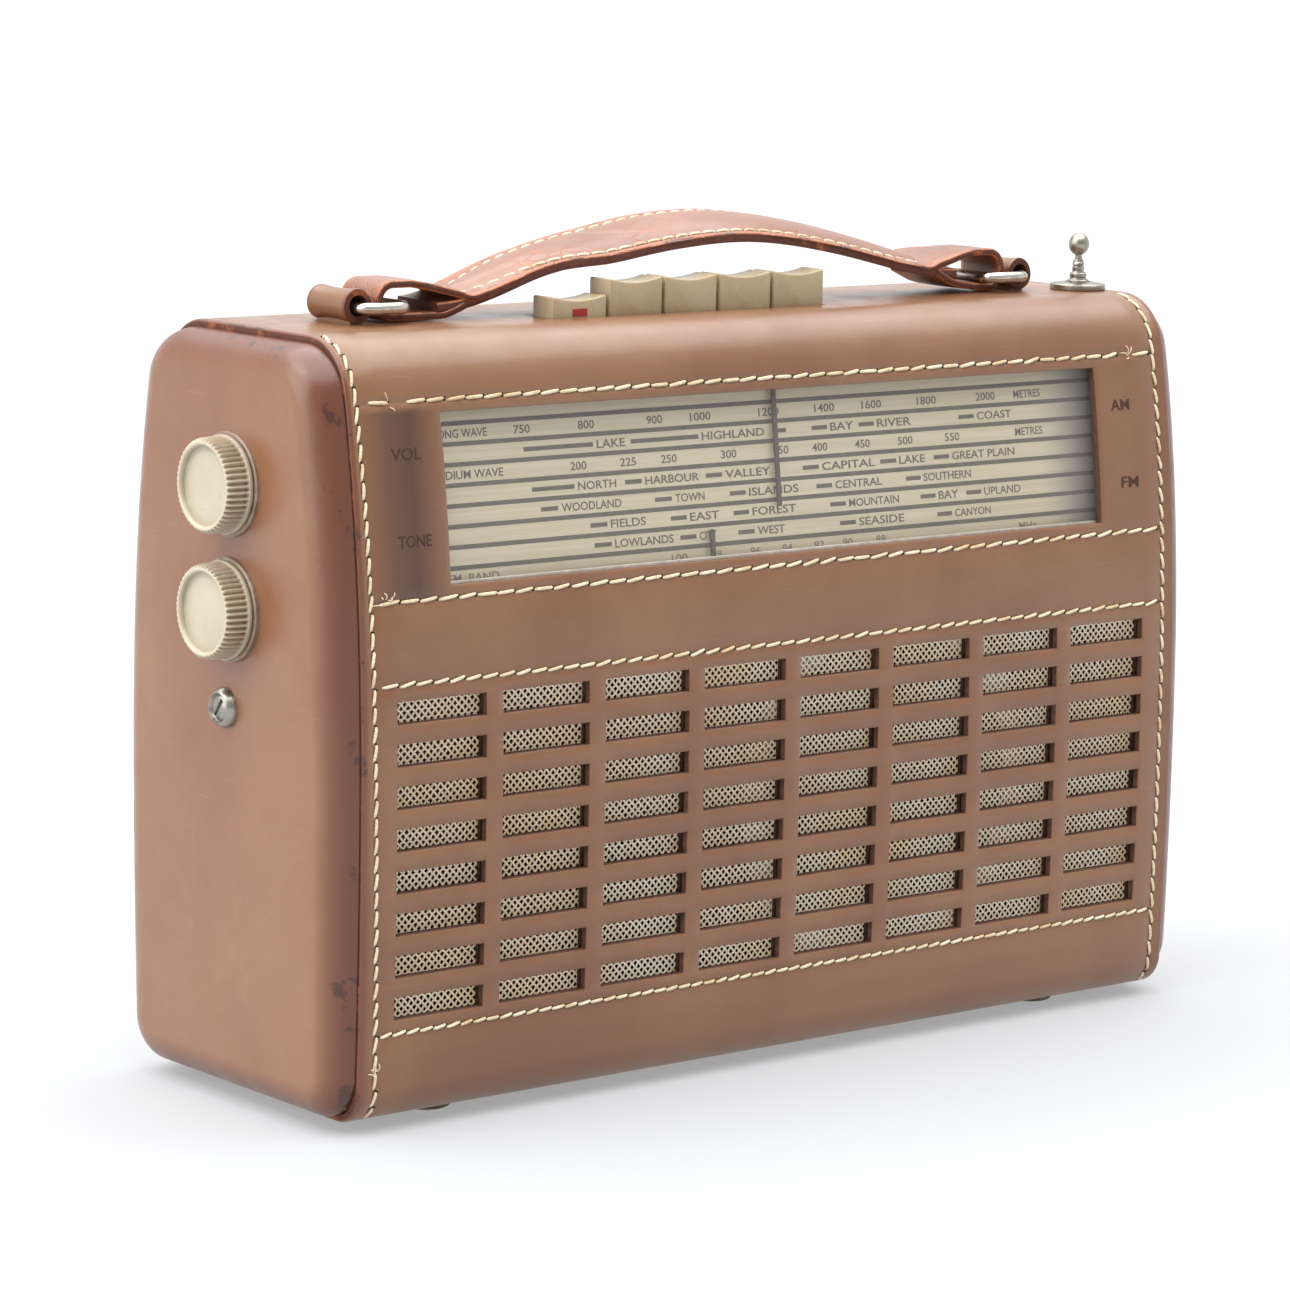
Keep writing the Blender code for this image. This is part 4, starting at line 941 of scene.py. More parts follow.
def stitch_row(
    name, points, normals, pitch, size, slant, body="case", slot="tan_leather", seed=1, cover=0.8, skip=()
):
    """Sewing thread along a line: each stitch dips into the hide at its ends, over a dark patch of painted shade
    for its hole.
    """
    rng = np.random.default_rng(seed)
    points = [Vector(p) for p in points]
    lengths = [0.0]
    for a, b in zip(points, points[1:]):
        lengths.append(lengths[-1] + (b - a).length)
    total = lengths[-1]
    count = max(1, round(total / pitch))
    xs = np.array(lengths)
    coords = np.array(points)
    norms = np.array([tuple(n) for n in normals])

    def at(s):
        p = Vector([np.interp(s, xs, coords[:, c]) for c in range(3)])
        n = Vector([np.interp(s, xs, norms[:, c]) for c in range(3)]).normalized()
        return p, n

    verts, faces, hole_verts, hole_faces = [], [], [], []
    step = total / count
    for k in range(count):
        if k in skip:
            continue
        middle = (k + 0.5) * step + rng.normal(0, 0.02) * step
        p, n = at(middle)
        ahead, _ = at(min(total, middle + step * 0.2))
        behind, _ = at(max(0.0, middle - step * 0.2))
        along = (ahead - behind).normalized()
        across = n.cross(along)
        angle = math.radians(slant + rng.normal(0, 3.0))
        along = along * math.cos(angle) + across * math.sin(angle)
        reach = step * cover / 2 * (1 + rng.normal(0, 0.04))
        path, radii = [], []
        for t in np.linspace(-1, 1, 9):
            lift = size * (0.70 - 1.15 * abs(t) ** 4.0)
            path.append(p + along * (reach * t) + n * lift)
            radii.append(size * (1.0 - 0.35 * abs(t) ** 4))
        tube, tube_faces = tube_data(path, radii, 7, up=n, first=len(verts))
        verts += tube
        faces += tube_faces
        # A dark patch at each stitch end: painted shade for the hole.
        centre = p + along * (reach * 1.03) + n * 0.12 * MM - across * size * 0.5
        long_way = (across + along * 0.3).normalized()
        short_way = n.cross(long_way)
        hole_faces += closed_faces(2, 8, len(hole_verts))
        for low, wide, narrow in ((centre, 2.1, 0.6), (centre - n * 0.4 * MM, 1.6, 0.4)):
            for a in range(8):
                c, s = math.cos(math.tau * a / 8), math.sin(math.tau * a / 8)
                hole_verts.append(low + long_way * (c * size * wide) + short_way * (s * size * narrow))
    obj = link(name, verts, faces, [THREAD], angle=60)
    place(obj, body, slot)
    dark = link(name + "_hole_shade", hole_verts, hole_faces, [STITCH_HOLE_SHADE], angle=60)
    place(dark, body, slot)
    return obj


SEAMS = (
    ("upper_window_seam", SEAM_Z[0], 5.9, 0.47, 5.0),
    ("lower_window_seam", SEAM_Z[1], 5.9, 0.45, 7.0),
    ("upper_grille_seam", SEAM_Z[2], 5.1, 0.43, 10.0),
    ("lower_grille_seam", SEAM_Z[3], 4.1, 0.43, 9.0),
)
SINK = -0.34 * MM
for number, (name, z, pitch, size, slant) in enumerate(SEAMS):
    reach = SEAM_X - 1.5 * MM
    spots = [front_point(x, z, SINK) for x in np.linspace(-reach, reach, 60)]
    stitch_row(
        name,
        [p for p, _ in spots],
        [n for _, n in spots],
        pitch * MM,
        size * MM,
        slant,
        seed=number + 3,
        cover=0.95,
        skip=(1, 43) if number == 0 else (),
    )


def frayed_ends(name, x, z, seed, count=4):
    """Loose fibres where a thread has broken."""
    rng = np.random.default_rng(seed)
    verts, faces = [], []
    for _ in range(count):
        base, n = front_point(x + rng.normal(0, 0.9) * MM, z + rng.normal(0, 0.5) * MM, 0.05 * MM)
        way = Vector((rng.normal(0, 1), 0, rng.normal(0.3, 1))).normalized()
        curl = Vector((rng.normal(0, 1), 0, rng.normal(0, 1))) * 0.9 * MM
        reach = rng.uniform(1.0, 2.1) * MM
        path = []
        for t in np.linspace(0, 1, 7):
            path.append(base + way * (reach * t) + curl * (t * t) + n * (0.9 * MM * math.sin(math.pi * t * 0.8)))
        tube, tube_faces = tube_data(path, [0.13 * MM] * 6 + [0.06 * MM], 5, first=len(verts))
        verts += tube
        faces += tube_faces
    return place(link(name, verts, faces, [THREAD], angle=60), "case", "tan_leather")


frayed_ends("frayed_thread_a", -127.0 * MM, SEAM_Z[0], 3)
frayed_ends("frayed_thread_b", -129.5 * MM, SEAM_Z[1] + 0.6 * MM, 8, 6)
frayed_ends("frayed_thread_c", 123.0 * MM, SEAM_Z[0] - 0.2 * MM, 14)
frayed_ends("frayed_thread_d", -133.6 * MM, 16.0 * MM, 21)


def side_line(face):
    """The line of a side seam: over the top edge, down the face and round the bottom edge."""
    rows = stations(spacing=4.0 * MM)
    loop = [(y, z) for y, z, _, _ in rows]
    normal = inward(loop)
    spots = []
    for (y, z), n in zip(loop, normal):
        if face * y > 24.5 * MM and z > CASE_BOTTOM + 0.6 * MM:
            spots.append(((y, z), n))
    spots.sort(key=lambda item: item[0][1])
    return spots


for face, face_name in ((-1, "front"), (1, "back")):
    spots = side_line(face)
    for side, side_name in ((-1, "left"), (1, "right")):
        points = []
        for (y, z), n in spots:
            lean = seam_lean(side * SEAM_X, z) if face < 0 else 0.0
            points.append((side * SEAM_X + lean, y - n[0] * SINK, z - n[1] * SINK))
        normals = [(0.0, -n[0], -n[1]) for _, n in spots]
        stitch_row(
            "side_seam_%s_%s" % (face_name, side_name),
            points,
            normals,
            4.5 * MM,
            0.42 * MM,
            12.0 * side,
            seed=11 + side + 3 * face,
            cover=0.93,
        )

inset = 5.0 * MM
reach_x = (panel_low.x + inset, panel_high.x - inset)
reach_z = (panel_low.z + inset, panel_high.z - inset)
corners = rounded_rect(*reach_x, *reach_z, 8 * MM, 6)
panel_path = dense(corners, 6 * MM)
panel_path.append(panel_path[0])
stitch_row(
    "back_panel_seam",
    [(x, half_depth(z) - 0.2 * MM - 0.1 * MM, z) for x, z in panel_path],
    [
        Vector((0.0, 1.0, -(half_depth(z + 1e-4) - half_depth(z - 1e-4)) / 2e-4)).normalized()
        for x, z in panel_path
    ],
    5.0 * MM,
    0.48 * MM,
    10.0,
    seed=31,
)

# --------------------------------------------------------- grille cloth


def build_cloth():
    """Open diagonal weave: two sets of yarn that pass over and under each other, as one sheet."""
    low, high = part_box("grille_cloth")
    pitch = 1.45 * MM
    wide, thick, lift = 0.31 * MM, 0.22 * MM, 0.17 * MM
    y = (low.y + high.y) / 2
    root = math.sqrt(0.5)
    rng = np.random.default_rng(5)
    verts, faces = [], []
    centre_x, centre_z = (low.x + high.x) / 2, (low.z + high.z) / 2
    half_x, half_z = (high.x - low.x) / 2 - 0.5 * MM, (high.z - low.z) / 2 - 0.5 * MM
    reach = int((half_x + half_z) * root / pitch) + 1
    for family in (0, 1):
        along = Vector((root, 0, root)) if family == 0 else Vector((-root, 0, root))
        across = Vector((-root, 0, root)) if family == 0 else Vector((root, 0, root))
        for k in range(-reach, reach + 1):
            wander = rng.normal(0, 0.05) * MM
            ring = []
            for m in range(-reach, reach + 1):
                p = across * (k * pitch + wander) + along * (m * pitch)
                if abs(p.x) > half_x or abs(p.z) > half_z:
                    continue
                over = lift if (k + m + family) % 2 else -lift
                ring.append(Vector((centre_x + p.x, y - over, centre_z + p.z)))
            if len(ring) < 3:
                continue
            tube, tube_faces = tube_data(ring, wide, 4, first=len(verts), squash=thick / wide, up=(0, -1, 0))
            verts += tube
            faces += tube_faces
    obj = link("grille_weave", verts, faces, [YARN], angle=180)
    place(obj, "case", "grille_cloth", "grille_cloth")
    return obj


build_cloth()

# -------------------------------------------------------------- dial

plate_low, plate_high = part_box("dial_plate")
LEAN = math.radians(7.3)
PLATE = (plate_low + plate_high) / 2
UP = Vector((0.0, math.sin(LEAN), math.cos(LEAN)))
OUT = Vector((0.0, -math.cos(LEAN), math.sin(LEAN)))


def on_plate(u, v, lift=0.54 * MM):
    return PLATE + Vector((u, 0, 0)) + UP * v + OUT * lift


def lettering(text, width, height):
    """Flat outlines of a word, as 2D points and faces that fill width by height from the origin."""
    curve = bpy.data.curves.new("word", "FONT")
    curve.body = text
    curve.size = 1.0
    curve.offset = 0.014
    curve.resolution_u = 3
    obj = bpy.data.objects.new("word", curve)
    bpy.context.scene.collection.objects.link(obj)
    mesh = evaluated(obj)
    points = np.array([v.co[:2] for v in mesh.vertices])
    faces = [tuple(p.vertices) for p in mesh.polygons]
    bpy.data.objects.remove(obj, do_unlink=True)
    bpy.data.meshes.remove(mesh)
    low = points.min(0)
    size = points.max(0) - low
    points = (points - low) / size * np.array([width, height])
    return points, faces


class Print:
    """Gathers flat marks into one thin mesh."""

    def __init__(self, to_space):
        self.to_space = to_space
        self.verts, self.faces = [], []

    def bar(self, x_0, x_1, v, height):
        first = len(self.verts)
        count = max(1, int((x_1 - x_0) / (20 * MM)))
        for k in range(count + 1):
            x = x_0 + (x_1 - x_0) * k / count
            self.verts += [self.to_space(x, v - height / 2), self.to_space(x, v + height / 2)]
        self.faces += grid_faces(count + 1, 2, first=first)

    def word(self, text, x, v, width, height):
        points, faces = lettering(text, width, height)
        first = len(self.verts)
        self.verts += [self.to_space(x + p[0], v - height / 2 + p[1]) for p in points]
        self.faces += [tuple(first + n for n in f) for f in faces]

    def finish(self, name, mat, slot, out, thick=0.04 * MM):
        verts = [Vector(v) for v in self.verts]
        count = len(verts)
        verts += [v - out * thick for v in verts]
        edges = {}
        for f in self.faces:
            for a, b in zip(f, f[1:] + f[:1]):
                edges[(a, b)] = edges.get((a, b), 0) + 1
        faces = list(self.faces) + [tuple(count + n for n in reversed(f)) for f in self.faces]
        for a, b in edges:
            if (b, a) not in edges:
                faces.append((b, a, count + a, count + b))
        obj = link(name, verts, faces, [mat], smooth=False)
        return place(obj, "case", slot)


DIGIT = 1.72  # a figure's width in millimetres
ROW_PITCH = 5.07 * MM
STRIPE_TOP = 18.0 * MM
TEXT_TOP = 15.45 * MM
CAP_HEIGHT = 2.15 * MM
SCALES = (
    (0, ((-81.2, "750"), (-60.9, "800"), (-38.9, "900"), (-23.8, "1000"), (-1.0, "1200"))),
    (0, ((18.1, "1400"), (34.5, "1600"), (54.0, "1800"), (75.3, "2000"))),
    (2, ((-64.1, "200"), (-48.2, "225"), (-34.9, "250"), (-15.1, "300"), (2.5, "350"))),
    (2, ((15.8, "400"), (30.6, "450"), (45.7, "500"), (62.5, "550"))),
)
BAND_WORDS = (
    (0, -108.5, 16.5, "LONG WAVE"),
    (0, 85.6, 9.8, "METRES"),
    (2, -109.5, 21.8, "MEDIUM WAVE"),
    (2, 85.5, 10.1, "METRES"),
)
PLACES = (
    (1, ((-81.0, 22.0, 9.1, "LAKE"), (-46.9, 22.1, 20.9, "HIGHLAND"), (0.0, 4.6, 0, ""), (13.4, 5.3, 8.0, "BAY"))),
    (1, ((29.7, 5.3, 12.0, "RIVER"), (65.2, 5.5, 12.6, "COAST"))),
    (3, ((-79.1, 13.4, 12.2, "NORTH"), (-49.5, 5.4, 17.6, "HARBOUR"), (-23.1, 5.4, 15.1, "VALLEY"))),
    (3, ((9.6, 5.5, 18.4, "CAPITAL"), (36.5, 5.6, 9.1, "LAKE"), (55.5, 5.5, 22.7, "GREAT PLAIN"))),
    (4, ((-76.7, 5.4, 19.1, "WOODLAND"), (-40.2, 5.5, 9.7, "TOWN"), (-15.5, 5.3, 16.8, "ISLANDS"))),
    (4, ((13.9, 5.4, 16.3, "CENTRAL"), (45.2, 5.2, 17.0, "SOUTHERN"))),
    (5, ((-61.4, 5.4, 11.3, "FIELDS"), (-35.4, 5.2, 9.7, "EAST"), (-14.6, 5.2, 14.8, "FOREST"))),
    (5, ((18.3, 5.4, 17.5, "MOUNTAIN"), (50.0, 5.4, 7.1, "BAY"), (66.5, 5.4, 13.3, "UPLAND"))),
    (6, ((-60.5, 5.5, 19.0, "LOWLANDS"), (-32.7, 5.3, 5.5, "CITY"), (-13.4, 5.4, 9.2, "WEST"))),
    (6, ((21.3, 5.5, 15.9, "SEASIDE"), (55.6, 5.3, 13.0, "CANYON"))),
)
FM_SCALE = tuple(zip((-33.3, -21.0, -8.0, 2.8, 13.7, 23.6, 35.2), range(100, 86, -2)))

ink = Print(on_plate)
for k in range(8):
    ink.bar(-113.8 * MM, 113.8 * MM, STRIPE_TOP - k * ROW_PITCH, 1.15 * MM)
for row, entries in SCALES:
    for x, text in entries:
        width = DIGIT * len(text) * MM
        ink.word(text, x * MM - width / 2, TEXT_TOP - row * ROW_PITCH, width, CAP_HEIGHT)
for row, x, width, text in BAND_WORDS:
    ink.word(text, x * MM, TEXT_TOP - row * ROW_PITCH, width * MM, CAP_HEIGHT)
for row, entries in PLACES:
    for x, bar, width, text in entries:
        v = TEXT_TOP - row * ROW_PITCH
        ink.bar(x * MM, (x + bar) * MM, v, 1.12 * MM)
        if text:
            ink.word(text, (x + bar + 1.1) * MM, v, width * MM, CAP_HEIGHT)
ink.finish("dial_print", INK, "dial_metal", OUT)

pale = Print(on_plate)
FM_ROW = -20.1 * MM
for x, figure in FM_SCALE:
    text = str(figure)
    width = DIGIT * len(text) * MM
    pale.word(text, x * MM - width / 2, FM_ROW, width, CAP_HEIGHT)
pale.word("FM  BAND", -106.5 * MM, FM_ROW, 15.7 * MM, CAP_HEIGHT)
pale.word("MHz", 85.1 * MM, FM_ROW, 6.4 * MM, CAP_HEIGHT * 0.95)
pale.finish("dial_print_fm", INK_PALE, "dial_metal", OUT)


def on_front(x, z, lift=0.05 * MM):
    return front_point(x, z, lift)[0]


stamp = Print(on_front)
for text, x, z, width in (
    ("VOL", -126.0, 167.0, 9.0),
    ("TONE", -125.5, 146.0, 10.0),
    ("AM", 115.5, 166.2, 7.0),
    ("FM", 118.0, 145.2, 6.5),
):
    stamp.word(text, x * MM, z * MM, width * MM, 3.0 * MM)
stamp.finish("control_marks", STAMP, "tan_leather", Vector((0, -1, 0)), 0.15 * MM)

# A thin light strip along the window's lower edge: painted highlight, the glint of the glass's lit edge.
HIGHLIGHT_X = WINDOW_X - 0.4 * MM
highlight_strip = rounded_rect(-HIGHLIGHT_X, HIGHLIGHT_X, WINDOW_LOW - 1.0 * MM, WINDOW_LOW + 0.35 * MM, 0.15 * MM, 2)
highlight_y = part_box("dial_glass")[0].y
verts, faces = prism(highlight_strip, highlight_y - 0.1 * MM, highlight_y + 1.2 * MM, from_front)
place(link("window_edge_highlight", verts, faces, [plain("edge_highlight_paint", "D8D2C8", "BDB4A8", 0.35)]), "case", "clear_window")

# --------------------------------------------------------------- knobs

FLUTES = 48
FLUTE_DEPTH = 0.85 * MM
STEPS_PER_FLUTE = 6
SKIRT = 2.2 * MM  # how far a fitting's edge reaches back into a drawn-in end face


def build_knob(name, node, body):
    """A fluted knob with a dished face, and the metal collar behind it."""
    low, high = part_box(node)
    side = 1 if low.x + high.x > 0 else -1
    centre_y, centre_z = (low.y + high.y) / 2, (low.z + high.z) / 2
    outer = (high.x if side > 0 else -low.x) - 0.4 * MM
    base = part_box(node + "_ring")
    base_x = (base[1].x if side > 0 else -base[0].x) + 0.3 * MM
    shaft_x = low.x if side > 0 else -high.x
    top = outer - base_x
    # The profile's last column darkens the plastic: soiling and painted shade in the dish's corner and round the
    # knob's foot.
    profile = [
        (0.0, top - 1.15 * MM, 0, 0.05),
        (5.0 * MM, top - 1.25 * MM, 0, 0.05),
        (8.2 * MM, top - 1.55 * MM, 0, 0.10),
        (9.2 * MM, top - 1.60 * MM, 0, 0.30),
        (9.75 * MM, top - 1.35 * MM, 0, 0.45),
        (10.0 * MM, top - 0.35 * MM, 0, 0.10),
        (10.25 * MM, top - 0.05 * MM, 0, 0.0),
        (10.7 * MM, top, 0, 0.0),
        (11.15 * MM, top - 0.08 * MM, 0.3, 0.0),
        (11.55 * MM, top - 0.45 * MM, 0.9, 0.0),
        (11.8 * MM, top - 1.0 * MM, 1.0, 0.0),
        (12.0 * MM, 2.4 * MM, 1.0, 0.0),
        (12.05 * MM, 1.25 * MM, 1.0, 0.2),
        (12.1 * MM, 1.0 * MM, 0.15, 0.3),
        (12.3 * MM, 0.85 * MM, 0, 0.2),
        (12.35 * MM, 0.15 * MM, 0, 0.1),
        (12.2 * MM, 0.0, 0, 0.1),
        (3.0 * MM, 0.0, 0, 0.0),
        (3.0 * MM, shaft_x - base_x, 0, 0.0),
        (0.0, shaft_x - base_x, 0, 0.0),
    ]
    steps = FLUTES * STEPS_PER_FLUTE
    verts, grime_and_shade, rings = [], [], []
    for radius, height, flute, dirt_and_shade in profile:
        if radius < 1e-7:
            rings.append([len(verts)])
            verts.append(Vector((0, 0, height)))
            grime_and_shade.append(dirt_and_shade)
            continue
        ring = []
        for k in range(steps):
            a = math.tau * k / steps
            wave = 0.5 - 0.5 * math.cos(FLUTES * a)
            r = radius - flute * FLUTE_DEPTH * (1 - wave) ** 0.65
            ring.append(len(verts))
            verts.append(Vector((r * math.cos(a), r * math.sin(a), height)))
            # Flute bottoms darker: painted shade with soiling.
            grime_and_shade.append(min(1.0, dirt_and_shade + flute * 0.85 * (1 - wave)))
        rings.append(ring)
    matrix = axis_matrix((side, 0, 0), (side * base_x, centre_y, centre_z))
    obj = link(name, [matrix @ v for v in verts], ring_faces(rings, steps), [IVORY], angle=50)
    attribute(obj, "grime_and_shade", grime_and_shade)
    place(obj, body, "ivory_plastic", node)
    collar = [(12.8, 0.75), (13.05, 0.55), (13.15, -2.2), (4.6, -2.2), (4.6, 0.85), (12.6, 0.85)]
    collar = [(r * MM, h * MM) for r, h in collar]
    ring_at = (side * (base[0].x if side > 0 else -base[1].x), centre_y, centre_z)
    obj = turned(name + "_collar", collar, (side, 0, 0), ring_at, [COLLAR])
    place(obj, "case", "plated_steel", node + "_ring")


build_knob("volume_dial_knob", "volume_knob", "volume")
build_knob("tone_dial_knob", "tone_knob", "tone")
build_knob("am_dial_knob", "am_tuning_knob", "am_tuning")
build_knob("fm_dial_knob", "fm_tuning_knob", "fm_tuning")

# ------------------------------------------------------------ coin screws


def build_screw(name, node, turn):
    """A slotted dome head in a cup washer, with its shank."""
    low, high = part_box(node)
    size = high - low
    if node.startswith("back"):
        axis = Vector((0, 1, 0))
        face = high.y
    else:
        axis = Vector((1, 0, 0)) if low.x > 0 else Vector((-1, 0, 0))
        face = high.x if low.x > 0 else low.x
    middle = (low + high) / 2
    seat = Vector(middle)
    seat[0 if abs(axis.x) else 1] = face
    seat -= axis * 1.8 * MM
    length = (size.x if abs(axis.x) else size.y) - 1.8 * MM
    skirt = SKIRT if abs(axis.x) else 0.4 * MM
    head = turned(
        name,
        [
            (0.0, 1.75 * MM),
            (1.8 * MM, 1.7 * MM),
            (2.8 * MM, 1.45 * MM),
            (3.3 * MM, 1.0 * MM),
            (3.45 * MM, 1.15 * MM),
            (3.7 * MM, 1.75 * MM),
            (3.95 * MM, 1.8 * MM),
            (4.3 * MM, 1.55 * MM),
            (4.9 * MM, 0.5 * MM),
            (5.1 * MM, 0.0),
            (5.1 * MM, -skirt),
            (2.2 * MM, -skirt),
            (2.2 * MM, -length),
            (0.0, -length),
        ],
        axis,
        seat,
        [WORN_NICKEL],
        48,
    )
    spin = axis_matrix(axis, seat) @ Matrix.Rotation(turn, 4, "Z")
    loop = [(-0.55 * MM, -2.7 * MM), (0.55 * MM, -2.7 * MM), (0.55 * MM, 2.7 * MM), (-0.55 * MM, 2.7 * MM)]
    verts, faces = prism(loop, 0.75 * MM, 3 * MM, lambda p, h: spin @ from_below(p, h))
    cutter = link(name + "_slot", verts, faces, [WORN_NICKEL])
    cut = head.modifiers.new("slot", "BOOLEAN")
    cut.object = cutter
    cut.solver = "EXACT"
    mesh = evaluated(head)
    head.modifiers.clear()
    head.data = mesh
    bpy.data.objects.remove(cutter, do_unlink=True)
    return place(head, "case", "nickel", node)


build_screw("left_cap_screw", "left_coin_screw", math.radians(55))
build_screw("right_cap_screw", "right_coin_screw", math.radians(20))
build_screw("back_screw_a", "back_screw_left", math.radians(10))
build_screw("back_screw_b", "back_screw_right", math.radians(70))

# ------------------------------------------------------------- band keys


def build_key(number):
    """A piano key: its hollowed cap and the stem under it."""
    node = "band_key_%d" % number
    low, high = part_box(node)
    top = high.z
    cap_low = top - 16.0 * MM
    loop = [(low.x, cap_low), (high.x, cap_low)]
    radius = 0.55 * MM
    dip = 1.1 * MM  # the finger hollow
    width = high.x - low.x
    for k in range(5):
        a = math.pi / 2 * k / 4
        loop.append((high.x - radius + radius * math.cos(a), top - radius + radius * math.sin(a)))
    for k in range(1, 16):
        t = k / 16
        x = high.x - radius - (width - 2 * radius) * t
        loop.append((x, top - dip * math.sin(math.pi * t) ** 0.9))
    for k in range(5):
        a = math.pi / 2 + math.pi / 2 * k / 4
        loop.append((low.x + radius + radius * math.cos(a), top - radius + radius * math.sin(a)))
    verts, faces = prism(loop, low.y, high.y, from_front, 0.45 * MM, 0.45 * MM, 4)
    x = (low.x + high.x) / 2
    stem = rounded_rect(x - 3.0 * MM, x + 3.0 * MM, low.y + 2.8 * MM, high.y - 2.8 * MM, 0.3 * MM, 2)
    stem_verts, stem_faces = prism(stem, low.z, cap_low + 0.3 * MM, from_below, first=len(verts))
    verts += stem_verts
    faces += stem_faces
    obj = link(node + "_cap", verts, faces, [KEY_IVORY_WITH_SHADE], angle=50)
    # Darker at the foot of each key, where it goes into the case: painted shade with soiling.
    grime_and_shade = [0.55 if v[2] < CASE_TOP + 1.0 * MM else 0.0 for v in verts]
    attribute(obj, "grime_and_shade", grime_and_shade)
    place(obj, "key_%d" % number, "ivory_plastic", node)
    if number == 1:
        patch = rounded_rect(x - 2.4 * MM, x + 2.4 * MM, CASE_TOP + 0.2 * MM, CASE_TOP + 2.2 * MM, 0.2 * MM, 2)
        front = low.y
        verts, faces = prism(patch, front - 0.08 * MM, front + 0.2 * MM, from_front)
        mark = link("band_key_1_mark", verts, faces, [RED])
        place(mark, "key_1", "ivory_plastic")


for number in range(1, 6):
    build_key(number)

# ------------------------------------------------------------- rod aerial


SOCKET_DEPTH = 124.8


def build_aerial():
    """The socket's flange, three tubes that slide in each other, and the tip with its ball."""
    at = AERIAL
    flange = [(3.45, 2.2), (4.6, 2.2), (5.2, 2.05), (7.3, 1.75), (7.65, 1.5), (7.7, 0.35), (7.6, 0.15)]
    flange += [(3.8, 0.15), (3.8, -SOCKET_DEPTH), (3.45, -SOCKET_DEPTH)]
    flange = [(r * MM, h * MM) for r, h in flange]
    place(turned("aerial_flange", flange, (0, 0, 1), at, [WORN_NICKEL]), "case", "nickel", "aerial_socket")
    outer, inner = (3.0, 2.35, 1.7), (2.7, 2.05, 1.4)
    for k in range(3):
        node = "aerial_section_%d" % (k + 1)
        low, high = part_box(node)
        rise, deep = (high.z - at.z) / MM, (low.z - at.z) / MM
        r, bore = outer[k], inner[k]
        profile = [
            (r - 0.28, rise),
            (r - 0.06, rise - 0.22),
            (r, rise - 0.6),
            (r, rise - 1.1),
            (r - 0.12, rise - 1.3),
            (r - 0.12, rise - 1.5),
            (r, rise - 1.7),
            (r, deep),
            (bore, deep),
            (bore, rise),
        ]
        profile = [(a * MM, b * MM) for a, b in profile]
        obj = turned("aerial_tube_%d" % (k + 1), profile, (0, 0, 1), at, [WORN_NICKEL], 48)
        place(obj, "aerial_%d" % (k + 1), "nickel", node)
    low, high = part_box("aerial_section_4")
    tip = high.z - at.z - 3.9 * MM
    profile = []
    for k in range(15):
        a = math.radians(90 - 160 * k / 14)
        profile.append((2.85 * MM * math.cos(a) if k else 0.0, tip + 3.15 * MM * math.sin(a)))
    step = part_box("aerial_section_3")[1].z - at.z + 0.15 * MM
    profile += [
        (0.95 * MM, tip - 3.2 * MM),
        (1.05 * MM, tip - 4.2 * MM),
        (1.35 * MM, tip - 4.3 * MM),
        (1.45 * MM, tip - 4.6 * MM),
        (1.3 * MM, tip - 4.8 * MM),
        (1.65 * MM, step + 0.5 * MM),
        (1.7 * MM, step + 0.2 * MM),
        (1.5 * MM, step),
        (1.1 * MM, step),
        (1.1 * MM, low.z - at.z),
        (0.0, low.z - at.z),
    ]
    obj = turned("aerial_tip", profile, (0, 0, 1), at, [WORN_NICKEL], 48)
    place(obj, "aerial_4", "nickel", "aerial_section_4")


build_aerial()

# ---------------------------------------------------------- handle fittings


def build_ring(name, node, body):
    """A wire ring with rounded corners."""
    low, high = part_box(node)
    wire = (high.z - low.z) / 2
    z = (low.z + high.z) / 2
    loop = rounded_rect(low.x + wire, high.x - wire, low.y + wire, high.y - wire, 4.2 * MM, 10)
    path = [(x, y, z) for x, y in dense(loop, 2 * MM)]
    verts, faces = tube_data(path, wire, 20, closed=True, up=(0, 0, 1))
    obj = link(name, verts, faces, [NICKEL], angle=60)
    return place(obj, body, "nickel", node)


build_ring("left_wire_ring", "left_handle_ring", "left_ring")
build_ring("right_wire_ring", "right_handle_ring", "right_ring")


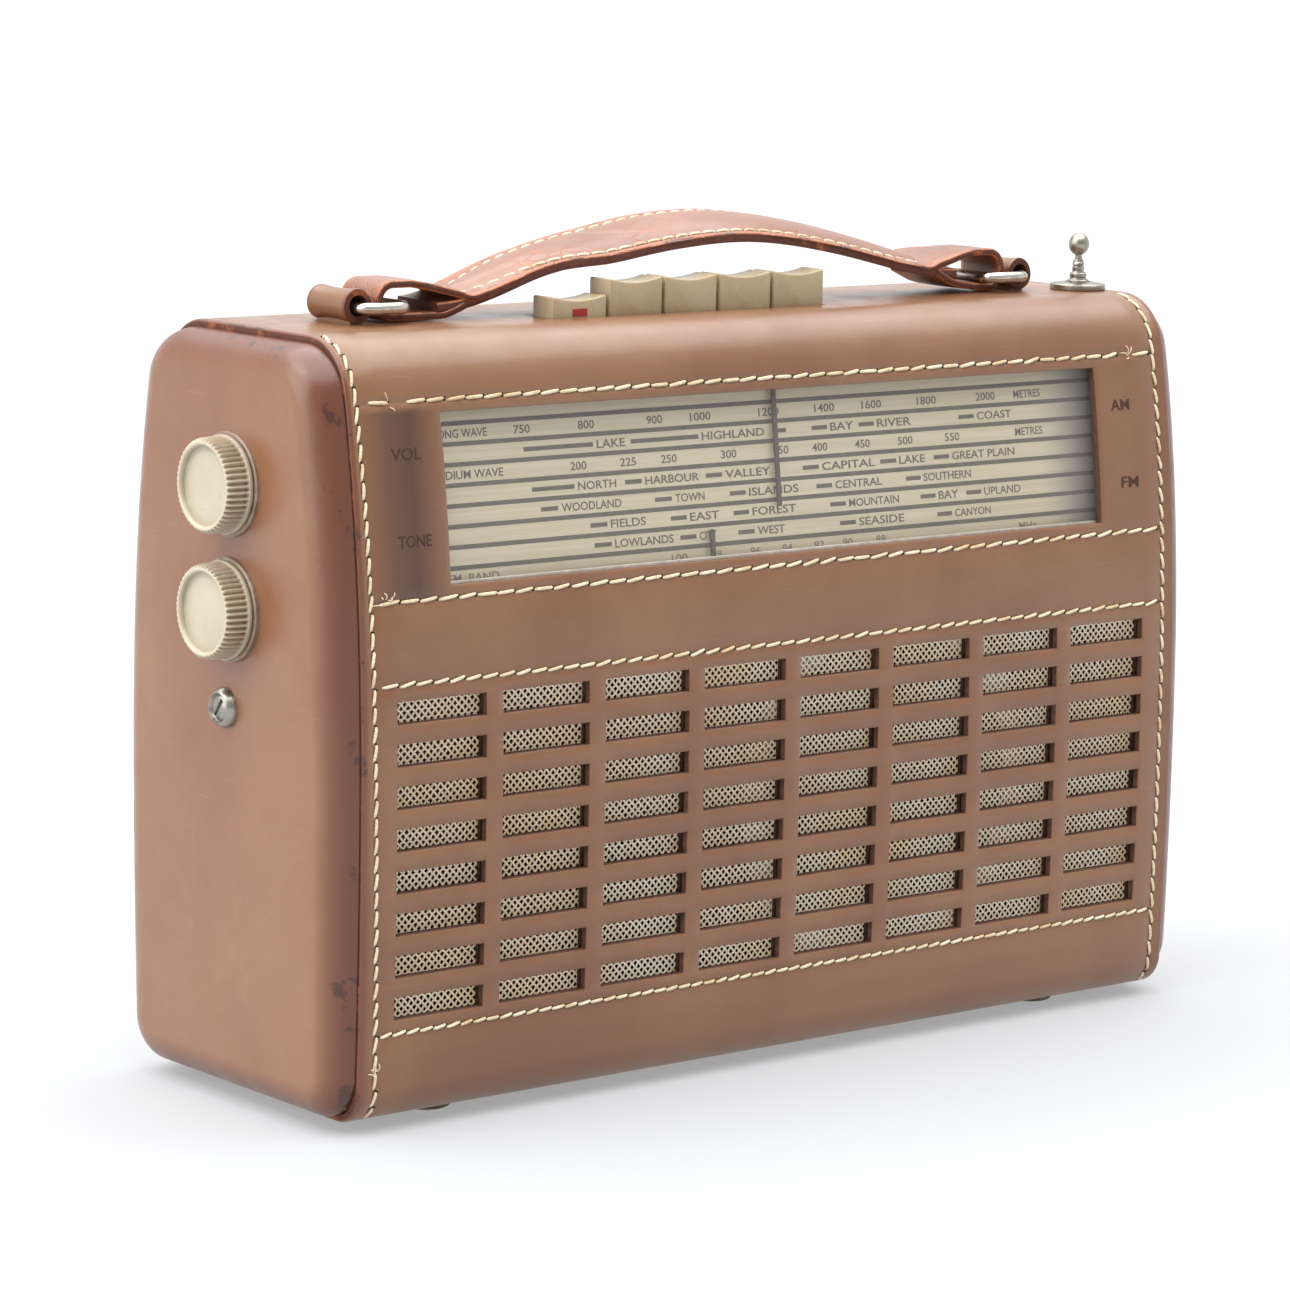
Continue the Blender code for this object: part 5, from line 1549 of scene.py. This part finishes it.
def build_tab(name, node):
    """A strip of hide rolled round the ring's bar: a tapering coil whose cut ends show."""
    low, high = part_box(node)
    x = (low.x + high.x) / 2
    outer = (high.x - low.x) / 2
    inner = 2.7 * MM
    z = high.z - outer
    across = 25
    verts, wear = [], []
    around = 40
    half = high.y
    for k in range(across):
        t = -1 + 2 * k / (across - 1)
        y = half * t
        waist = 0.55 * MM * (1 - t * t) ** 0.8
        rim = 0.25 * MM if k in (0, across - 1) else 0.0
        for s in range(around):
            a = math.tau * s / around
            lap = 0.35 * MM * max(0.0, math.cos(a - 0.6)) ** 3
            r = outer - waist - rim - lap
            verts.append((x + r * math.cos(a), y, z + r * math.sin(a)))
            wear.append(0.75 if k in (0, 1, across - 2, across - 1) else 0.0)
    for k in range(across):
        t = -1 + 2 * k / (across - 1)
        for s in range(around):
            a = math.tau * s / around
            verts.append((x + inner * math.cos(a), half * t, z + inner * math.sin(a)))
            wear.append(0.9)
    first = across * around
    faces = grid_faces(across, around, False, True)
    kinds = [0] * len(faces)
    faces += grid_faces(across, around, False, True, first)
    for k in (0, across - 1):
        for s in range(around):
            a, b = k * around + s, k * around + (s + 1) % around
            faces.append((a, b, first + b, first + a))
    kinds += [1] * (len(faces) - len(kinds))
    tail = rounded_rect(x - 2.0 * MM, x + 2.0 * MM, -7.2 * MM, 7.2 * MM, 0.4 * MM, 2)
    tail_verts, tail_faces = prism(tail, low.z, z - inner - 0.6 * MM, from_below, first=len(verts))
    verts += tail_verts
    wear += [0.0] * len(tail_verts)
    faces += tail_faces
    kinds += [0] * len(tail_faces)
    obj = link(name, verts, faces, [COVER, EDGE], kinds, angle=50)
    attribute(obj, "wear", wear)
    return place(obj, "case", "strap_leather", node)


build_tab("left_rolled_tab", "left_handle_tab")
build_tab("right_rolled_tab", "right_handle_tab")

# ------------------------------------------------------------ carrying strap

strap_low, strap_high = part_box("handle_strap")
LOOP_END = strap_high.x
LOOP_NEAR = 89.0 * MM
STRAP_END = {-1: 198.2 * MM, 1: 200.8 * MM}
STRAP_TOP = strap_high.z - 2.8 * MM
STRAP_TOP_X = 3.0 * MM
FULLNESS = {-1: 1.78, 1: 1.0}
STRAP_HALF = strap_high.y


def drape(x):
    """How far the soft strap lies above its plain arch: it sags on the left and stands full on the right."""
    spots = (-89, -60, -50, -36, -27, -18, -10, 3, 20, 48, 65, 78, 89)
    lifts = (0.0, 0.8, 0.2, -0.9, -0.4, 0.7, 1.6, 2.4, 2.9, 3.7, 3.1, 1.2, 0.0)
    return float(np.interp(x / MM, spots, lifts)) * MM


def lean(x):
    """How far the strap's back edge stands above its middle line."""
    spots = (-94, -82, -60, -50, -36, -10, 48, 65, 78, 94)
    rises = (0.3, 0.5, 0.5, 0.8, 2.0, 2.5, 2.4, 2.3, 1.3, 0.4)
    return float(np.interp(x / MM, spots, rises)) * MM


def strap_height(x):
    return sum(arch_height(x + k * MM) + drape(x + k * MM) for k in (-6, -3, 0, 3, 6)) / 5


def arch_height(x):
    side = -1 if x < STRAP_TOP_X else 1
    reach = abs(side * LOOP_NEAR - STRAP_TOP_X)
    share = min(1.0, abs(x - STRAP_TOP_X) / reach)
    arch = 0.5 + 0.5 * math.cos(math.pi * share ** FULLNESS[side])
    return STRAP_END[side] + (STRAP_TOP - STRAP_END[side]) * arch


def strap_half(x):
    """Half the strap's width: it narrows to the end loops."""
    share = max(0.0, min(1.0, (abs(x) - 62 * MM) / (30 * MM)))
    share = share * share * (3 - 2 * share)
    return STRAP_HALF - (STRAP_HALF - 8.4 * MM) * share


def pad_half(x):
    """Half the width of the padded middle, which closes to a point at each end."""
    share = max(0.0, 1 - (abs(x) / (80 * MM)) ** 5)
    return (STRAP_HALF - 2.6 * MM) * math.sqrt(share)


def build_strap():
    """The padded strap between its folded ends, with worn edges and a filled middle."""
    rng = np.random.default_rng(21)
    low = -1.4 * MM
    edge_top = 1.35 * MM
    xs = np.linspace(-88 * MM, 88 * MM, 178)
    fray = np.cumsum(rng.normal(0, 0.05, (len(xs), 2)), 0)
    fray -= np.linspace(fray[0], fray[-1], len(xs))
    fray = np.clip(fray, -0.35, 0.2) * MM
    verts, wear = [], []
    half_share = [0.2, 0.4, 0.55, 0.7, 0.8, 0.9, 0.97, 1.0]
    share = [-s for s in half_share[::-1]] + [0.0] + half_share
    count = 0
    for k, x in enumerate(xs):
        z = strap_height(max(-LOOP_NEAR, min(LOOP_NEAR, x)))
        ahead = strap_height(min(LOOP_NEAR, x + 1 * MM)) - strap_height(max(-LOOP_NEAR, x - 1 * MM))
        slope = math.atan2(ahead, 2 * MM) if abs(x) < LOOP_NEAR else 0.0
        half = strap_half(x)
        pad = pad_half(x)
        tilt = lean(x)
        ring = []
        for s in share:
            y = s * half
            y += fray[k][0] if s < -0.95 else fray[k][1] if s > 0.95 else 0.0
            crown = 0.0
            if pad > 0.5 * MM and abs(y) < pad:
                crown = 1.42 * MM * (1 - (abs(y) / pad) ** 2.6) * min(1.0, pad / (4 * MM))
            stitch = 0.35 * MM if abs(abs(s) - 0.8) < 0.02 and pad > 1 * MM else 0.0
            rim = 0.45 * MM if abs(s) == 1.0 else 0.08 * MM if abs(s) == 0.97 else 0.0
            worn = 1.0 if abs(s) >= 0.97 else 0.55 if abs(s) > 0.85 else 0.0
            ring.append((y, edge_top + crown - stitch - rim, worn))
        edge = [(half - 0.1 * MM, 0.15 * MM, 1.0), (half, -0.2 * MM, 1.0), (half * 0.985, low + 0.2 * MM, 1.0)]
        ring += edge
        ring += [(half * s, low, 0.2) for s in (0.95, 0.5, 0.0, -0.5, -0.95)]
        ring += [(-y, h, worn) for y, h, worn in edge[::-1]]
        count = len(ring)
        for y, h, worn in ring:
            lift = h + tilt * y / STRAP_HALF
            verts.append((x - math.sin(slope) * lift, y, z + math.cos(slope) * lift))
            wear.append(worn)
    dark = {16, 17, 18, count - 1, count - 2, count - 3}
    kinds = [1 if j in dark else 0 for j in range(count)] * (len(xs) - 1) + [1, 1]
    obj = link("strap_body", verts, closed_faces(len(xs), count), [STRAP, EDGE], kinds, angle=55)
    attribute(obj, "wear", wear)
    place(obj, "strap", "strap_leather", "handle_strap")
    return obj


build_strap()


def strap_top(x, y):
    """A point on the strap's sewn line, and its normal."""
    z = strap_height(x)
    ahead = strap_height(min(LOOP_NEAR, x + 1 * MM)) - strap_height(max(-LOOP_NEAR, x - 1 * MM))
    slope = math.atan2(ahead, 2 * MM)
    tilt = lean(x)
    lift = 1.0 * MM + tilt * y / STRAP_HALF
    normal = Vector((-math.sin(slope), 0, math.cos(slope)))
    return Vector((x, y, z)) + normal * lift, normal


for side, side_name in ((-1, "front"), (1, "back")):
    spots = []
    for x in np.linspace(-79 * MM, 79 * MM, 120):
        y = side * min(strap_half(x) * 0.8, pad_half(x) + 0.2 * MM)
        spots.append(strap_top(x, y))
    stitch_row(
        "strap_seam_" + side_name,
        [p for p, _ in spots],
        [n for _, n in spots],
        4.6 * MM,
        0.42 * MM,
        6.0 * side,
        body="strap",
        slot="strap_leather",
        seed=41 + side,
        cover=0.85,
    )


def build_loop(name, side):
    """The strap's end folded over the ring's bar and back on top of itself."""
    high = 205.6 * MM if side < 0 else 207.0 * MM
    low = strap_low.z
    thick = 1.9 * MM
    end = LOOP_END - thick / 2
    mid_low, mid_high = low + thick / 2, high - thick / 2
    radius = (mid_high - mid_low) / 2
    path = []
    tail_x = 73 * MM
    meet = strap_height(side * 80 * MM)
    for k in range(16):
        x = tail_x + (96 * MM - tail_x) * k / 15
        sunk = strap_height(side * min(x, LOOP_NEAR)) + 0.5 * MM
        t = max(0.0, min(1.0, (x - 78 * MM) / (18 * MM)))
        ease = t ** 0.85 * (1 + 0.35 * t * (1 - t))
        slope = meet + 1.5 * MM + (mid_high - meet - 1.5 * MM) * min(1.0, ease)
        blend = max(0.0, min(1.0, (x - 75 * MM) / (6 * MM)))
        path.append((x, sunk + (slope - sunk) * blend))
    centre = (end - radius, (mid_low + mid_high) / 2)
    for k in range(17):
        a = math.pi / 2 - math.pi * k / 16
        path.append((centre[0] + radius * 0.98 * math.cos(a), centre[1] + radius * math.sin(a)))
    for k in range(1, 12):
        t = k / 11
        x = centre[0] + (80 * MM - centre[0]) * t
        under = strap_height(side * min(x, LOOP_NEAR)) - 1.4 * MM - thick / 2 - 0.05 * MM
        ease = t * t * (3 - 2 * t)
        buried = 1.5 * MM * max(0.0, (t - 0.7) / 0.3)
        path.append((x, mid_low + (max(mid_low, under) - mid_low) * ease + buried))
    verts, wear = [], []
    points = [Vector((x, 0, z)) for x, z in path]
    rows = [-1.0, -0.96, -0.8, -0.4, 0.0, 0.4, 0.8, 0.96, 1.0]
    for k, p in enumerate(points):
        tangent = (points[min(k + 1, len(points) - 1)] - points[max(k - 1, 0)]).normalized()
        normal = Vector((tangent.z, 0, -tangent.x))
        x = p.x
        half = 8.0 * MM + 2.2 * MM * max(0.0, min(1.0, (92 * MM - x) / (18 * MM)))
        tilt = lean(side * x) * max(0.0, min(1.0, (96 * MM - x) / (10 * MM))) / half if k < 20 else 0.0
        for face in (-1, 1):
            order = rows if face < 0 else rows[::-1]
            for s in order:
                rim = 0.35 * MM if abs(s) == 1.0 else 0.0
                q = p + normal * (face * -1 * (thick / 2 - rim)) + Vector((0, s * half, s * half * tilt))
                verts.append((side * q.x, q.y, q.z))
                wear.append(1.0 if abs(s) >= 0.96 else 0.3 if abs(s) >= 0.8 else 0.0)
    count = 2 * len(rows)
    dark = (len(rows) - 1, count - 1)
    kinds = [1 if j in dark else 0 for j in range(count)] * (len(points) - 1) + [1, 1]
    obj = link(name, verts, closed_faces(len(points), count), [STRAP, EDGE], kinds, angle=55)
    attribute(obj, "wear", wear)
    return place(obj, "strap", "strap_leather")


build_loop("strap_loop_left", -1)
build_loop("strap_loop_right", 1)

# -------------------------------------------------------------------- feet

for name in ("foot_front_left", "foot_front_right", "foot_back_left", "foot_back_right"):
    low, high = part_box(name)
    x, y = (low.x + high.x) / 2, (low.y + high.y) / 2
    profile = [(0.0, 2.45), (6.5, 2.45), (6.6, 2.2), (6.6, 1.2), (6.35, 0.5), (5.6, 0.1), (5.0, 0.0), (0.0, 0.0)]
    obj = turned(name + "_pad", [(r * MM, h * MM) for r, h in profile], (0, 0, 1), (x, y, 0.0), [RUBBER], 40)
    place(obj, "case", "foot_rubber", name)

# --------------------------------------------- carried-over pieces' finishes

FINISHES = {
    "case_frame": WOOD,
    "grille_board": BOARD,
    "dial_glass": WINDOW,
    "dial_plate": DIAL,
    "am_pointer": NEEDLE,
    "fm_pointer": NEEDLE,
    "chassis": STEEL,
    "circuit_board": PHENOLIC,
    "speaker_basket": STEEL,
    "speaker_cone": PAPER,
    "speaker_magnet": MAGNET,
    "battery_box": BLACK,
    "battery_1": JACKET,
    "battery_2": JACKET,
    "battery_3": JACKET,
    "battery_4": JACKET,
    "ferrite_rod": FERRITE,
    "ferrite_coil": COPPER,
    "tuning_capacitor": STEEL,
    "fm_tuner": STEEL,
    "key_switch_bank": BLACK,
    "volume_pot": STEEL,
    "tone_pot": STEEL,
}
for node, mat in FINISHES.items():
    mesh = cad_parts[node].data
    mesh.materials.clear()
    mesh.materials.append(mat)

# ------------------------------------------------------------- stage, light


def stage_floor():
    s = Shade("white_floor", (0.300, 0.306, 0.316, 1.0), 0.9, Specular_IOR_Level=0.1, Emission_Strength=0.34)
    s.shader.inputs["Emission Color"].default_value = (0.97, 0.98, 1.0, 1.0)
    verts = [(-40, -40, -0.0002), (40, -40, -0.0002), (40, 40, -0.0002), (-40, 40, -0.0002)]
    floor = link("floor", verts, [(0, 1, 2, 3)], [s.mat], smooth=False)


stage_floor()

# A white tent, dimmer on the side that the camera looks in from.
world = bpy.data.worlds.new("studio")
bpy.context.scene.world = world
world.use_nodes = True
tree = world.node_tree
sky = tree.nodes["Background"]
sky.inputs["Color"].default_value = (0.995, 0.998, 1.0, 1.0)
ray = tree.nodes.new("ShaderNodeTexCoord")
facing = tree.nodes.new("ShaderNodeVectorMath")
facing.operation = "DOT_PRODUCT"
facing.inputs[1].default_value = (0.55, 0.80, 0.20)
strength = tree.nodes.new("ShaderNodeMapRange")
strength.interpolation_type = "SMOOTHSTEP"
for socket, number in (("From Min", -0.9), ("From Max", 0.45), ("To Min", 0.50), ("To Max", 1.02)):
    strength.inputs[socket].default_value = number
tree.links.new(ray.outputs["Generated"], facing.inputs[0])
tree.links.new(facing.outputs["Value"], strength.inputs["Value"])
tree.links.new(strength.outputs["Result"], sky.inputs["Strength"])


def soft_sun(name, toward, power, spread, colour=(1.0, 1.0, 1.0)):
    data = bpy.data.lights.new(name, "SUN")
    data.energy = power
    data.angle = math.radians(spread)
    data.color = colour
    lamp = bpy.data.objects.new(name, data)
    bpy.context.scene.collection.objects.link(lamp)
    lamp.rotation_euler = (-Vector(toward)).to_track_quat("-Z", "Y").to_euler()
    return lamp


soft_sun("side_light", (-0.85, 0.15, 0.45), 1.75, 60.0)
soft_sun("top_light", (0.0, 0.05, 1.0), 4.5, 95.0)

bpy.context.scene.view_settings.view_transform = "Standard"
bpy.context.scene.view_settings.look = "None"

bpy.context.view_layer.update()
